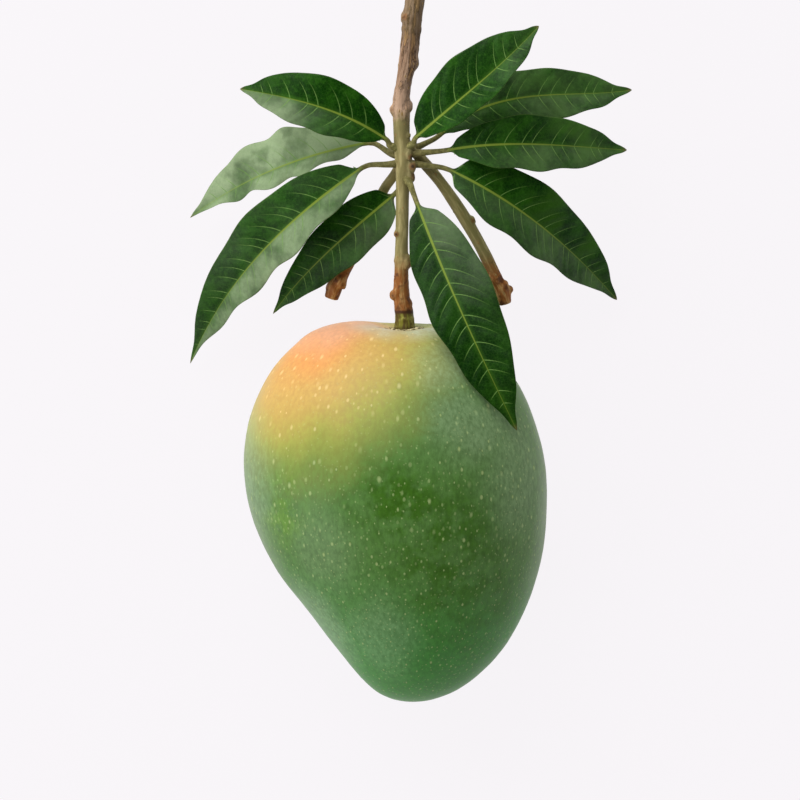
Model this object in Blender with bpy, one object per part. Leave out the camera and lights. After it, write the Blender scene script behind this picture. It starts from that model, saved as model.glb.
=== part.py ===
"""A mango picked with its stalk and leafy twig, lying on one cheek.

One fruit, one woody twig with two bare side stalks, and nine leaves. The stem end points to +Y and the fruit
rests on a small flat spot. The origin is the middle of that spot. Sizes below are millimetres and degrees.
"""

import math

import bmesh
import bpy
from mathutils import Matrix, Vector

MM = 0.001
NAME = "mango_with_twig"

# Fruit
STEM_END = 66.2  # length from the middle of the fruit to the stem end, before its pit
TAIL_END = 65.0
REST_FROM_MIDDLE = 8.0  # the resting spot lies this far from the middle of the fruit, towards the stem
REST_FROM_AXIS = 1.0  # and this far to the left of its axis, under its weight
AXIS_HEIGHT = 42.7
AXIS_LEAN = -0.026  # how far the axis drifts sideways for each mm along it
KNOT_STEP = 15.0  # degrees between the values below, from the stem end to the tail
LEFT_WIDTHS = (95.0, 90.0, 71.5, 64.3, 60.0, 56.6, 52.7, 47.5, 40.2, 35.9, 34.8, 37.5, 41.0)
RIGHT_WIDTHS = (58.0, 54.0, 51.4, 51.3, 49.4, 48.1, 46.8, 46.0, 45.0, 44.6, 43.4, 42.0, 42.0)
CHEEK_DEPTHS = (50.0, 49.5, 48.5, 47.5, 46.3, 45.0, 43.3, 41.3, 39.6, 38.6, 38.0, 37.5, 37.5)
SKIN_KNOTS = tuple(zip(LEFT_WIDTHS, RIGHT_WIDTHS, CHEEK_DEPTHS))
STEM_PIT_DEPTH = 5.0
STEM_PIT_RADIUS = 10.0
GRID = 16  # squares along each edge of the cube that is blown up into the fruit

# Twig: x, y, z and radius of the points that its shape needs
TWIG_STEPS = 3  # stations for each of the stretches between them
MAIN_SHAFT = (
    (0.1, 54.3, 42.4, 2.4),
    (0.1, 58.6, 42.6, 2.9),
    (-0.8, 65.1, 43.0, 2.8),
    (-1.0, 72.5, 43.5, 2.4),
    (-0.8, 84.2, 44.2, 2.2),
    (-0.6, 97.4, 45.2, 2.2),
    (-0.4, 105.5, 45.9, 2.4),
    (-0.3, 111.5, 46.4, 2.9),
    (-0.8, 118.0, 46.9, 2.7),
    (-0.9, 123.7, 47.4, 2.8),
    (-1.0, 130.1, 47.8, 2.8),
    (0.0, 136.6, 48.2, 2.6),
    (1.3, 143.1, 48.6, 3.1),
    (2.3, 152.7, 49.2, 3.1),
    (3.1, 159.7, 49.6, 3.2),
    (3.9, 164.8, 50.0, 3.0),
)
LEFT_STALK = (
    (-0.7, 111.0, 45.5, 1.2),
    (-3.4, 105.5, 40.8, 1.6),
    (-6.7, 100.5, 36.4, 1.7),
    (-10.8, 92.0, 32.2, 1.9),
    (-15.5, 81.8, 29.0, 2.1),
    (-20.0, 73.5, 27.4, 2.4),
    (-23.4, 67.5, 26.6, 2.8),
    (-24.8, 63.0, 26.2, 2.4),
)
RIGHT_STALK = (
    (0.2, 117.0, 45.5, 1.4),
    (6.2, 110.0, 42.8, 2.0),
    (12.2, 102.8, 40.6, 1.9),
    (19.0, 92.9, 38.0, 2.2),
    (26.3, 80.2, 35.0, 2.1),
    (31.2, 69.9, 33.0, 2.3),
    (33.0, 65.8, 32.0, 2.8),
    (34.2, 61.7, 31.5, 2.3),
)
# Knobs where flowers and old leaves broke off: x, y, z and radius
KNOBS = (
    (-3.6, 65.8, 43.8, 1.3),
    (0.4, 76.0, 45.4, 1.3),
    (-2.5, 86.4, 45.6, 1.1),
    (1.8, 104.8, 46.6, 1.8),
    (2.4, 108.6, 47.6, 1.7),
    (1.7, 114.0, 46.8, 2.0),
    (-3.3, 126.8, 48.0, 1.5),
    (-0.8, 135.4, 50.0, 1.4),
    (-20.6, 68.0, 28.4, 1.2),
    (-25.6, 66.6, 26.2, 1.2),
    (22.6, 90.2, 37.4, 1.3),
    (35.6, 66.6, 32.0, 1.2),
)

# Leaves
BLADE_THICKNESS = 0.8
PETIOLE_RADIUS = 0.85
PETIOLE_ROOT_RADIUS = 1.3
PETIOLE_STATIONS = 4
BLADE_STATIONS = 22
ACROSS = (-1.0, -0.66, -0.32, 0.0, 0.32, 0.66, 1.0)  # places across the blade, left edge to right edge
MIDRIB_ABOVE = 0.2
MIDRIB_BELOW = 0.9
CURL = 0.008  # how much each half bends back towards its edge
# Each leaf, seen from its base: root of the stalk, base of the blade, tip; bow to the right and arch upwards at
# a third and at two thirds; half width on the left and right; roll at base and tip; fold; height and number of
# waves; and how round the outline is at the base and at the tip.
LEAVES = {
    "leaf_left_1": dict(
        root=(-4.7, 115.4, 48.1), base=(-5.9, 117.4, 49.5), tip=(-53.8, 133.7, 46.0), bow=(5.0, 3.0),
        arch=(9.3, 8.7), width=(8.2, 10.0), roll=(8, 4), fold=13, wave=0.5, waves=2.5, shape=(0.75, 0.9),
    ),
    "leaf_left_2": dict(
        root=(-4.3, 112.6, 44.6), base=(-12.0, 116.0, 41.0), tip=(-73.9, 89.6, 12.0), bow=(5.4, 5.4),
        arch=(10.7, -0.6), width=(5.6, 11.3), roll=(20, 20), fold=14, wave=1.3, waves=3.5, shape=(0.85, 1.1),
    ),
    "leaf_left_3": dict(
        root=(-4.5, 109.2, 46.4), base=(-13.9, 108.0, 46.0), tip=(-75.1, 38.1, 6.0), bow=(5.8, 9.0),
        arch=(20.4, 5.2), width=(7.4, 13.2), roll=(14, 14), fold=15, wave=0.9, waves=3.0, shape=(0.7, 1.1),
    ),
    "leaf_left_4": dict(
        root=(1.6, 106.5, 41.4), base=(-3.4, 98.9, 39.6), tip=(-45.4, 56.5, 14.0), bow=(2.0, 3.5),
        arch=(10.0, 6.4), width=(9.2, 8.6), roll=(2, 14), fold=9, wave=0.8, waves=2.5, shape=(0.5, 1.0),
    ),
    "leaf_right_1": dict(
        root=(2.9, 115.8, 49.2), base=(3.8, 118.0, 50.2), tip=(43.3, 153.8, 56.0), bow=(0.0, 1.6),
        arch=(7.2, 9.7), width=(11.4, 6.8), roll=(-14, -12), fold=15, wave=0.6, waves=2.0, shape=(0.7, 0.85),
    ),
    "leaf_right_2": dict(
        root=(5.0, 115.0, 43.4), base=(11.8, 118.7, 42.0), tip=(76.4, 133.4, 28.0), bow=(-13.0, -1.5),
        arch=(8.5, 5.7), width=(9.0, 8.2), roll=(-8, -8), fold=11, wave=0.9, waves=3.0, shape=(1.1, 0.85),
    ),
    "leaf_right_3": dict(
        root=(5.6, 113.0, 48.2), base=(14.3, 113.9, 49.0), tip=(75.1, 113.3, 27.0), bow=(-4.2, -1.3),
        arch=(17.6, 5.7), width=(9.5, 8.7), roll=(-8, -8), fold=12, wave=0.5, waves=2.5, shape=(0.75, 0.88),
    ),
    "leaf_right_4": dict(
        root=(5.2, 109.1, 46.8), base=(15.0, 107.3, 46.5), tip=(74.4, 60.7, 7.0), bow=(-6.1, -4.5),
        arch=(24.2, 4.2), width=(11.6, 10.0), roll=(-14, -14), fold=15, wave=0.7, waves=2.5, shape=(0.55, 0.87),
    ),
    "leaf_front": dict(
        root=(1.9, 102.8, 49.2), base=(4.2, 96.6, 51.2), tip=(36.4, 24.4, 71.2), bow=(1.6, 0.8),
        arch=(7.0, 10.0), width=(12.7, 10.0), roll=(0, 0), fold=10, wave=0.6, waves=2.5, shape=(0.65, 0.95),
    ),
}

# Finishes: colour (linear), roughness
SKIN = ((0.17, 0.31, 0.08), 0.42)
BARK = ((0.22, 0.16, 0.07), 0.8)
LEAF = ((0.02, 0.09, 0.015), 0.38)


def clear_scene():
    for obj in list(bpy.data.objects):
        bpy.data.objects.remove(obj, do_unlink=True)


def new_collection(name):
    collection = bpy.data.collections.new(name)
    bpy.context.scene.collection.children.link(collection)
    return collection


def finish(obj, look):
    """Give a piece its own plain material and smooth shading."""
    colour, roughness = look
    material = bpy.data.materials.new(obj.name + "_finish")
    material.use_nodes = True
    shader = material.node_tree.nodes["Principled BSDF"]
    shader.inputs["Base Color"].default_value = (*colour, 1.0)
    shader.inputs["Roughness"].default_value = roughness
    shader.inputs["Metallic"].default_value = 0.0
    obj.data.materials.clear()
    obj.data.materials.append(material)
    obj.data.shade_smooth()
    obj.data.set_sharp_from_angle(angle=math.radians(50))


def through(points, place):
    """Read a smooth curve through rows of numbers at a place counted in rows."""
    last = len(points) - 1
    row = min(int(place), last - 1)
    part = place - row
    before, start = points[max(row - 1, 0)], points[row]
    end, after = points[row + 1], points[min(row + 2, last)]
    result = []
    for a, b, c, d in zip(before, start, end, after):
        bend = (2 * a - 5 * b + 4 * c - d) * part**2 + (3 * b - a - 3 * c + d) * part**3
        result.append(0.5 * (2 * b + (c - a) * part + bend))
    return result


def fruit_point(direction):
    """Move a point of the unit sphere, with the stem end at +Y, to the skin."""
    polar = math.degrees(math.acos(max(-1.0, min(1.0, direction.y))))
    left, right, depth = through(SKIN_KNOTS, polar / KNOT_STEP)
    side = left if direction.x < 0 else right
    x = direction.x * side
    z = direction.z * depth
    y = direction.y * (STEM_END if direction.y > 0 else TAIL_END)
    if direction.y > 0:
        y -= STEM_PIT_DEPTH * math.exp(-(x * x + z * z) / STEM_PIT_RADIUS**2)
    along = y - REST_FROM_MIDDLE
    return Vector((x + REST_FROM_AXIS + AXIS_LEAN * along, along, z + AXIS_HEIGHT)) * MM


def make_fruit(collection):
    """A cube blown up into the fruit, so that the skin has no pole, cut flat where it rests."""
    bm = bmesh.new()
    bmesh.ops.create_cube(bm, size=2.0)
    bmesh.ops.subdivide_edges(bm, edges=bm.edges[:], cuts=GRID - 1, use_grid_fill=True)
    for vert in bm.verts:
        spread = Vector([math.tan(value * math.pi / 4) for value in vert.co])
        vert.co = fruit_point(spread.normalized())
    cut = bmesh.ops.bisect_plane(
        bm, geom=bm.verts[:] + bm.edges[:] + bm.faces[:], dist=0.15 * MM,
        plane_co=(0, 0, 0), plane_no=(0, 0, -1), clear_outer=True,
    )
    rim = [item for item in cut["geom_cut"] if isinstance(item, bmesh.types.BMEdge)]
    bmesh.ops.edgeloop_fill(bm, edges=rim)
    bmesh.ops.recalc_face_normals(bm, faces=bm.faces[:])
    mesh = bpy.data.meshes.new("mango")
    bm.to_mesh(mesh)
    bm.free()
    fruit = bpy.data.objects.new("mango", mesh)
    collection.objects.link(fruit)
    finish(fruit, SKIN)


def make_stem(name, points, collection):
    """A round stem as a bevelled curve through the points, turned into a mesh with its ends closed."""
    stations = (len(points) - 1) * TWIG_STEPS + 1
    curve = bpy.data.curves.new(name, "CURVE")
    curve.dimensions = "3D"
    curve.bevel_depth = MM
    curve.bevel_resolution = 3
    curve.use_fill_caps = True
    spline = curve.splines.new("POLY")
    spline.points.add(stations - 1)
    for index, point in enumerate(spline.points):
        x, y, z, radius = through(points, index / TWIG_STEPS)
        point.co = (x * MM, y * MM, z * MM, 1.0)
        point.radius = radius
    guide = bpy.data.objects.new(name + "_guide", curve)
    collection.objects.link(guide)
    evaluated = guide.evaluated_get(bpy.context.evaluated_depsgraph_get())
    mesh = bpy.data.meshes.new_from_object(evaluated)
    bpy.data.objects.remove(guide, do_unlink=True)
    bm = bmesh.new()
    bm.from_mesh(mesh)
    bmesh.ops.remove_doubles(bm, verts=bm.verts[:], dist=0.01 * MM)
    bmesh.ops.recalc_face_normals(bm, faces=bm.faces[:])
    bm.to_mesh(mesh)
    bm.free()
    stem = bpy.data.objects.new(name, mesh)
    collection.objects.link(stem)
    return stem


def make_knob(name, place, collection):
    x, y, z, radius = place
    bm = bmesh.new()
    centre = Matrix.Translation(Vector((x, y, z)) * MM)
    bmesh.ops.create_uvsphere(bm, u_segments=8, v_segments=6, radius=radius * MM, matrix=centre)
    mesh = bpy.data.meshes.new(name)
    bm.to_mesh(mesh)
    bm.free()
    knob = bpy.data.objects.new(name, mesh)
    collection.objects.link(knob)


def make_twig(collection, helpers):
    """The main shaft with its side stalks and knobs joined to it by one union."""
    twig = make_stem("twig", MAIN_SHAFT, collection)
    make_stem("left_stalk", LEFT_STALK, helpers)
    make_stem("right_stalk", RIGHT_STALK, helpers)
    for index, place in enumerate(KNOBS):
        make_knob(f"knob_{index + 1}", place, helpers)
    join = twig.modifiers.new("join", "BOOLEAN")
    join.operation = "UNION"
    join.solver = "EXACT"
    join.operand_type = "COLLECTION"
    join.collection = helpers
    evaluated = twig.evaluated_get(bpy.context.evaluated_depsgraph_get())
    joined = bpy.data.meshes.new_from_object(evaluated)
    twig.modifiers.clear()
    twig.data = joined
    for helper in list(helpers.objects):
        bpy.data.objects.remove(helper, do_unlink=True)
    finish(twig, BARK)


def bezier(points, place):
    a, b, c, d = points
    rest = 1 - place
    return a * rest**3 + 3 * b * rest**2 * place + 3 * c * rest * place**2 + d * place**3


def bezier_direction(points, place):
    a, b, c, d = points
    rest = 1 - place
    return (3 * (b - a) * rest**2 + 6 * (c - b) * rest * place + 3 * (d - c) * place**2).normalized()


def leaf_spines(plan):
    """The curves of the leaf stalk and of the midrib, which run on into each other."""
    root, base, tip = (Vector(plan[key]) for key in ("root", "base", "tip"))
    reach = tip - base
    up = Vector((0, 0, 1))
    side = reach.cross(up).normalized()
    near, far = plan["arch"]
    near_bow, far_bow = plan["bow"]
    blade = (
        base,
        base + reach / 3 + side * near_bow + up * near,
        base + reach * 2 / 3 + side * far_bow + up * far,
        tip,
    )
    length = (base - root).length
    lead = bezier_direction(blade, 0.0)
    petiole = (root, root + (base - root) / 3, base - lead * length / 3, base)
    return petiole, blade


def frame_at(direction, roll):
    """The directions to the right of a leaf and out of its upper face."""
    right = direction.cross(Vector((0, 0, 1))).normalized()
    turn = Matrix.Rotation(math.radians(roll), 3, direction)
    right = turn @ right
    return right, right.cross(direction)


def leaf_outline(shape, place):
    """Half the blade's width at a place from base (0) to tip (1), as a share of the widest."""
    at_base, at_tip = shape
    widest = at_base / (at_base + at_tip)
    peak = widest**at_base * (1 - widest) ** at_tip
    return place**at_base * (1 - place) ** at_tip / peak


def petiole_ring(radius):
    """Points around the round stalk: the upper half left to right, then the lower half back."""
    steps = len(ACROSS)
    upper = [math.pi - math.pi * (index + 0.5) / steps for index in range(steps)]
    angles = upper + [-angle for angle in reversed(upper)]
    return [(radius * math.cos(angle), radius * math.sin(angle)) for angle in angles]


def blade_ring(plan, place):
    """Points around the blade: the upper face from left to right, then the lower face back."""
    left, right = plan["width"]
    share = leaf_outline(plan["shape"], place)
    half = BLADE_THICKNESS / 2
    upper, lower = [], []
    for across in ACROSS:
        width = (left if across < 0 else right) * share
        x = across * width
        turn = 2 * math.pi * plan["waves"] * place + (1.4 if across < 0 else 0.0)
        wave = plan["wave"] * abs(across) ** 1.5 * share * math.sin(turn)
        z = abs(x) * math.tan(math.radians(plan["fold"])) - CURL * x * x + wave
        rib = 1 - place if across == 0 else 0.0
        upper.append((x, z + half + MIDRIB_ABOVE * rib))
        lower.append((x, z - half - MIDRIB_BELOW * rib))
    return upper + lower[::-1]


def make_leaf(name, plan, collection):
    """One closed loft: the round leaf stalk, which flattens into the folded and waved blade."""
    petiole, blade = leaf_spines(plan)
    sections = []
    for step in range(PETIOLE_STATIONS):
        place = step / PETIOLE_STATIONS
        direction = bezier_direction(petiole, place)
        radius = PETIOLE_RADIUS + (PETIOLE_ROOT_RADIUS - PETIOLE_RADIUS) * (1 - place) ** 3
        sections.append((bezier(petiole, place), direction, plan["roll"][0], petiole_ring(radius)))
    round_ring = petiole_ring(PETIOLE_RADIUS)
    for step in range(BLADE_STATIONS):
        place = 0.985 * (step / (BLADE_STATIONS - 1)) ** 1.15
        blend = min(1.0, place / 0.06)
        blend = blend * blend * (3 - 2 * blend)
        ring = [
            (a * (1 - blend) + c * blend, b * (1 - blend) + d * blend)
            for (a, b), (c, d) in zip(round_ring, blade_ring(plan, place))
        ]
        roll = plan["roll"][0] + (plan["roll"][1] - plan["roll"][0]) * place
        sections.append((bezier(blade, place), bezier_direction(blade, place), roll, ring))

    bm = bmesh.new()
    rings = []
    for centre, direction, roll, ring in sections:
        right, out = frame_at(direction, roll)
        rings.append([bm.verts.new((centre + right * x + out * z) * MM) for x, z in ring])
    count = len(round_ring)
    for near, far in zip(rings, rings[1:]):
        for index in range(count):
            following = (index + 1) % count
            corners = (near[index], near[following], far[following], far[index])
            split = (0, 1, 2) if index < len(ACROSS) else (1, 2, 3)
            rest = (0, 2, 3) if index < len(ACROSS) else (0, 1, 3)
            bm.faces.new([corners[place] for place in split])
            bm.faces.new([corners[place] for place in rest])
    bm.faces.new(reversed(rings[0]))
    tip = bm.verts.new(bezier(blade, 1.0) * MM)
    for index in range(count):
        bm.faces.new((rings[-1][index], rings[-1][(index + 1) % count], tip))
    bmesh.ops.recalc_face_normals(bm, faces=bm.faces[:])
    mesh = bpy.data.meshes.new(name)
    bm.to_mesh(mesh)
    bm.free()
    leaf = bpy.data.objects.new(name, mesh)
    collection.objects.link(leaf)
    finish(leaf, LEAF)


def main():
    clear_scene()
    parts = new_collection(NAME)
    helpers = new_collection("helpers")
    make_fruit(parts)
    make_twig(parts, helpers)
    for name, plan in LEAVES.items():
        make_leaf(name, plan, parts)


main()
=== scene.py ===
"""A mango on its leafy twig, as picked: skin, bark and leaves in full detail, on a plain pale floor.

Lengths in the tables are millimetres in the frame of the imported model. The fruit lies on one cheek with its
stem end to +Y and the floor is at z = 0. Each operator makes one piece or one group of like pieces.
"""

import math

import bmesh
import bpy
import numpy as np
from mathutils import Matrix, Vector, noise


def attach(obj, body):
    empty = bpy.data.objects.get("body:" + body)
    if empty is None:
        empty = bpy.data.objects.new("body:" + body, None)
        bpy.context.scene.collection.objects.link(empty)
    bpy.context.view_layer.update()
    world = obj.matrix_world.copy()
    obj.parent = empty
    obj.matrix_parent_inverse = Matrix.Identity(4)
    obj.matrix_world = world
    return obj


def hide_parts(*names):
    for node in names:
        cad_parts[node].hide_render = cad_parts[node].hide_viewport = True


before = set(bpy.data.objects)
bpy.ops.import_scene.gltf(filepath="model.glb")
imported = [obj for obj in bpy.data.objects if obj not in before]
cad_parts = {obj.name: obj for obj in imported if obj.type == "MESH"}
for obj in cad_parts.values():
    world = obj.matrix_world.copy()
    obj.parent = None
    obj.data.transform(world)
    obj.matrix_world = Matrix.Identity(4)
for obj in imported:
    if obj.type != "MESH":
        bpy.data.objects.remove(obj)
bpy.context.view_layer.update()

bl_info = {
    "name": "Mango on a leafy twig",
    "version": (1, 0, 0),
    "blender": (4, 5, 0),
    "location": "View3D > Sidebar > Mango",
    "description": "Makes the skin, bark and leaves of a mango as picked, and a plain stage for it",
    "category": "Object",
}

MM = 0.001

# Fruit
STEM_END = 66.2  # from the middle of the fruit to its top, before the pit is sunk
TAIL_END = 65.0
REST_FROM_MIDDLE = 8.0  # from the middle to the resting spot, along the fruit
REST_FROM_AXIS = 1.0
AXIS_HEIGHT = 42.7
AXIS_LEAN = -0.026  # how far the axis runs to the right for each mm along Y
KNOT_STEP = 15.0  # degrees between the values below, from the stem end to the tail
LEFT_WIDTHS = (95.0, 90.0, 71.5, 64.3, 60.0, 56.6, 52.7, 47.5, 40.2, 35.9, 34.8, 37.5, 41.0)
RIGHT_WIDTHS = (58.0, 54.0, 51.4, 51.3, 49.4, 48.1, 46.8, 46.0, 45.0, 44.6, 43.4, 42.0, 42.0)
CHEEK_DEPTHS = (50.0, 49.5, 48.5, 47.5, 46.3, 45.0, 43.3, 41.3, 39.6, 38.6, 38.0, 37.5, 37.5)
SKIN_KNOTS = tuple(zip(LEFT_WIDTHS, RIGHT_WIDTHS, CHEEK_DEPTHS))
STEM_PIT_DEPTH = 5.0
STEM_PIT_RADIUS = 10.0
PIT_FLOOR = (0.1, 53.6, 42.4)  # where the stalk sinks into the pit
SUNNY_SHOULDER = (-29.0, 51.0, 54.0)
RIPENING_REACH = 53.0  # distance from the sunny shoulder over which the rind turns from ripe to green
RIND_DRIFT = 13.0  # how far clouds in the rind push its colours about
# Patches of the rind where it is rubbed deep green, and where wax clouds it, those on the left and right flanks
# also a painted sheen along the fruit's edges: centre, reach and strength
DEEP_PATCHES = (
    ((-4.0, 4.0, 88.0), (20.0, 18.0, 30.0), 0.9), ((14.0, -12.0, 84.0), (30.0, 30.0, 26.0), 0.75),
    ((24.0, -32.0, 76.0), (30.0, 30.0, 26.0), 0.45), ((0.0, 10.0, 0.0), (60.0, 50.0, 30.0), 0.8),
)
WAX_AND_SHEEN_PATCHES = (
    ((5.0, 56.0, 54.0), (28.0, 8.0, 17.0), 0.85), ((-56.0, -6.0, 48.0), (24.0, 56.0, 44.0), 0.3),
    ((54.0, -6.0, 46.0), (20.0, 58.0, 44.0), 0.26), ((-30.0, -46.0, 62.0), (20.0, 30.0, 26.0), 0.28),
    ((-26.0, -14.0, 78.0), (16.0, 26.0, 20.0), 0.1), ((12.0, 44.0, 68.0), (18.0, 14.0, 16.0), 0.25),
    ((22.0, 28.0, 76.0), (24.0, 20.0, 20.0), 0.2), ((35.0, 10.0, 68.0), (22.0, 32.0, 22.0), 0.16),
    ((-8.0, -44.0, 74.0), (18.0, 26.0, 22.0), 0.18),
)
BLUSH_PATCH = ((-22.0, 55.0, 47.0), (24.0, 14.0, 22.0), 0.8)
# A paler green patch high on the left cheek: centre, reach and strength
PALE_GREEN_PATCH = ((-39.0, -1.0, 70.0), (13.0, 20.0, 20.0), 0.65)
# Spots tried for each square metre, before those closer than the spacing are dropped
LENTICEL_DENSITY = 320000.0
WART_DENSITY = 160000.0

# Twig: x, y, z and radius of the points that its shape needs
MAIN_SHAFT = (
    (0.1, 52.4, 42.2, 3.75), (0.1, 54.6, 42.3, 3.5), (0.1, 58.6, 42.6, 3.15), (-0.8, 65.1, 43.0, 2.8),
    (-1.0, 72.5, 43.5, 2.4), (-0.8, 84.2, 44.2, 2.2), (-0.6, 97.4, 45.2, 2.2), (-0.4, 105.5, 45.9, 2.4),
    (-0.3, 111.5, 46.4, 2.9), (-0.8, 118.0, 46.9, 2.7), (-0.9, 123.7, 47.4, 2.8), (-1.0, 130.1, 47.8, 2.8),
    (0.0, 136.6, 48.2, 2.6), (1.3, 143.1, 48.6, 3.1), (2.3, 152.7, 49.2, 3.1), (3.1, 159.7, 49.6, 3.2),
    (3.9, 164.8, 50.0, 3.0),
)
LEFT_STALK = (
    (-0.7, 111.0, 45.5, 1.2), (-3.4, 105.5, 40.8, 1.6), (-6.7, 100.5, 36.4, 1.7), (-10.8, 92.0, 32.2, 1.9),
    (-15.5, 81.8, 29.0, 2.1), (-20.0, 73.5, 27.4, 2.4), (-23.4, 67.5, 26.6, 2.8), (-24.8, 63.0, 26.2, 2.4),
)
RIGHT_STALK = (
    (0.2, 117.0, 45.5, 1.4), (6.2, 110.0, 42.8, 2.0), (12.2, 102.8, 40.6, 1.9), (19.0, 92.9, 38.0, 2.2),
    (26.3, 80.2, 35.0, 2.1), (31.2, 69.9, 33.0, 2.3), (33.0, 65.8, 32.0, 2.8), (34.2, 61.7, 31.5, 2.3),
)
STEMS = (MAIN_SHAFT, LEFT_STALK, RIGHT_STALK)
# Knobs where flowers and old leaves broke off: x, y, z and radius
KNOBS = (
    (-3.6, 65.8, 43.8, 1.3), (0.4, 76.0, 45.4, 1.3), (-2.5, 86.4, 45.6, 1.1), (1.8, 104.8, 46.6, 1.8),
    (2.4, 108.6, 47.6, 1.7), (1.7, 114.0, 46.8, 2.0), (-3.3, 126.8, 48.0, 1.5), (-0.8, 135.4, 50.0, 1.4),
    (-20.6, 68.0, 28.4, 1.2), (-25.6, 66.6, 26.2, 1.2), (22.6, 90.2, 37.4, 1.3), (35.6, 66.6, 32.0, 1.2),
)
# Dormant buds in the leaf axils: place, the way each points, length and radius
BUDS = (
    ((1.5, 112.6, 49.0), (0.1, -1.0, 0.35), 5.0, 1.25), ((2.8, 108.4, 48.4), (0.25, -1.0, 0.3), 4.4, 1.1),
    ((-2.6, 110.6, 47.8), (-0.6, -0.6, 0.5), 2.2, 0.8), ((1.6, 118.6, 48.6), (0.5, 0.7, 0.4), 2.2, 0.8),
)
# Smaller swellings that make the joints of the twig knobbly: x, y, z and radius
SWELLINGS = (
    (0.7, 76.9, 44.4, 2.1), (-1.9, 70.4, 44.0, 1.7), (-2.0, 66.8, 44.2, 1.9), (-0.5, 64.0, 43.2, 2.2),
    (-0.1, 61.8, 43.0, 2.95), (-2.0, 86.2, 45.2, 1.2), (-0.9, 126.2, 48.0, 2.9), (1.2, 128.0, 48.0, 1.8),
    (1.9, 142.6, 48.8, 2.9), (1.6, 156.6, 50.0, 2.9), (-21.6, 69.4, 28.0, 2.3), (-24.0, 66.4, 27.6, 1.9),
    (30.4, 71.0, 34.0, 2.1), (33.6, 67.4, 33.4, 1.9), (24.6, 83.4, 36.2, 1.6),
)
# Leaf scars, which show as brown spots: x, y, z and reach
SCARS = (
    (-3.6, 65.8, 44.6, 2.0), (-2.7, 86.2, 46.4, 1.6), (0.2, 156.8, 52.2, 1.8), (2.8, 108.6, 49.4, 2.2),
    (2.1, 111.6, 49.4, 1.7), (4.2, 105.4, 48.0, 3.0), (-3.5, 127.0, 48.4, 1.5), (2.3, 76.4, 46.0, 1.4),
    (22.8, 90.2, 38.2, 1.4), (-21.0, 68.0, 29.4, 1.4),
)
# Scars that ring the main shaft: distance along Y, height and width
RING_SCARS = (
    (60.6, 0.2, 0.4), (69.4, 0.14, 0.5), (77.4, 0.34, 0.6), (123.8, 0.16, 0.3), (125.6, 0.22, 0.4),
    (153.0, 0.3, 1.2),
)
# Places along Y between which the bark of the main shaft changes
FOOT_TO_YOUNG = (71.0, 81.0)
YOUNG_TO_OLD = (122.0, 128.0)
WARTS_FROM = 62  # cork warts grow on the bark beyond this place along Y
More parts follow.
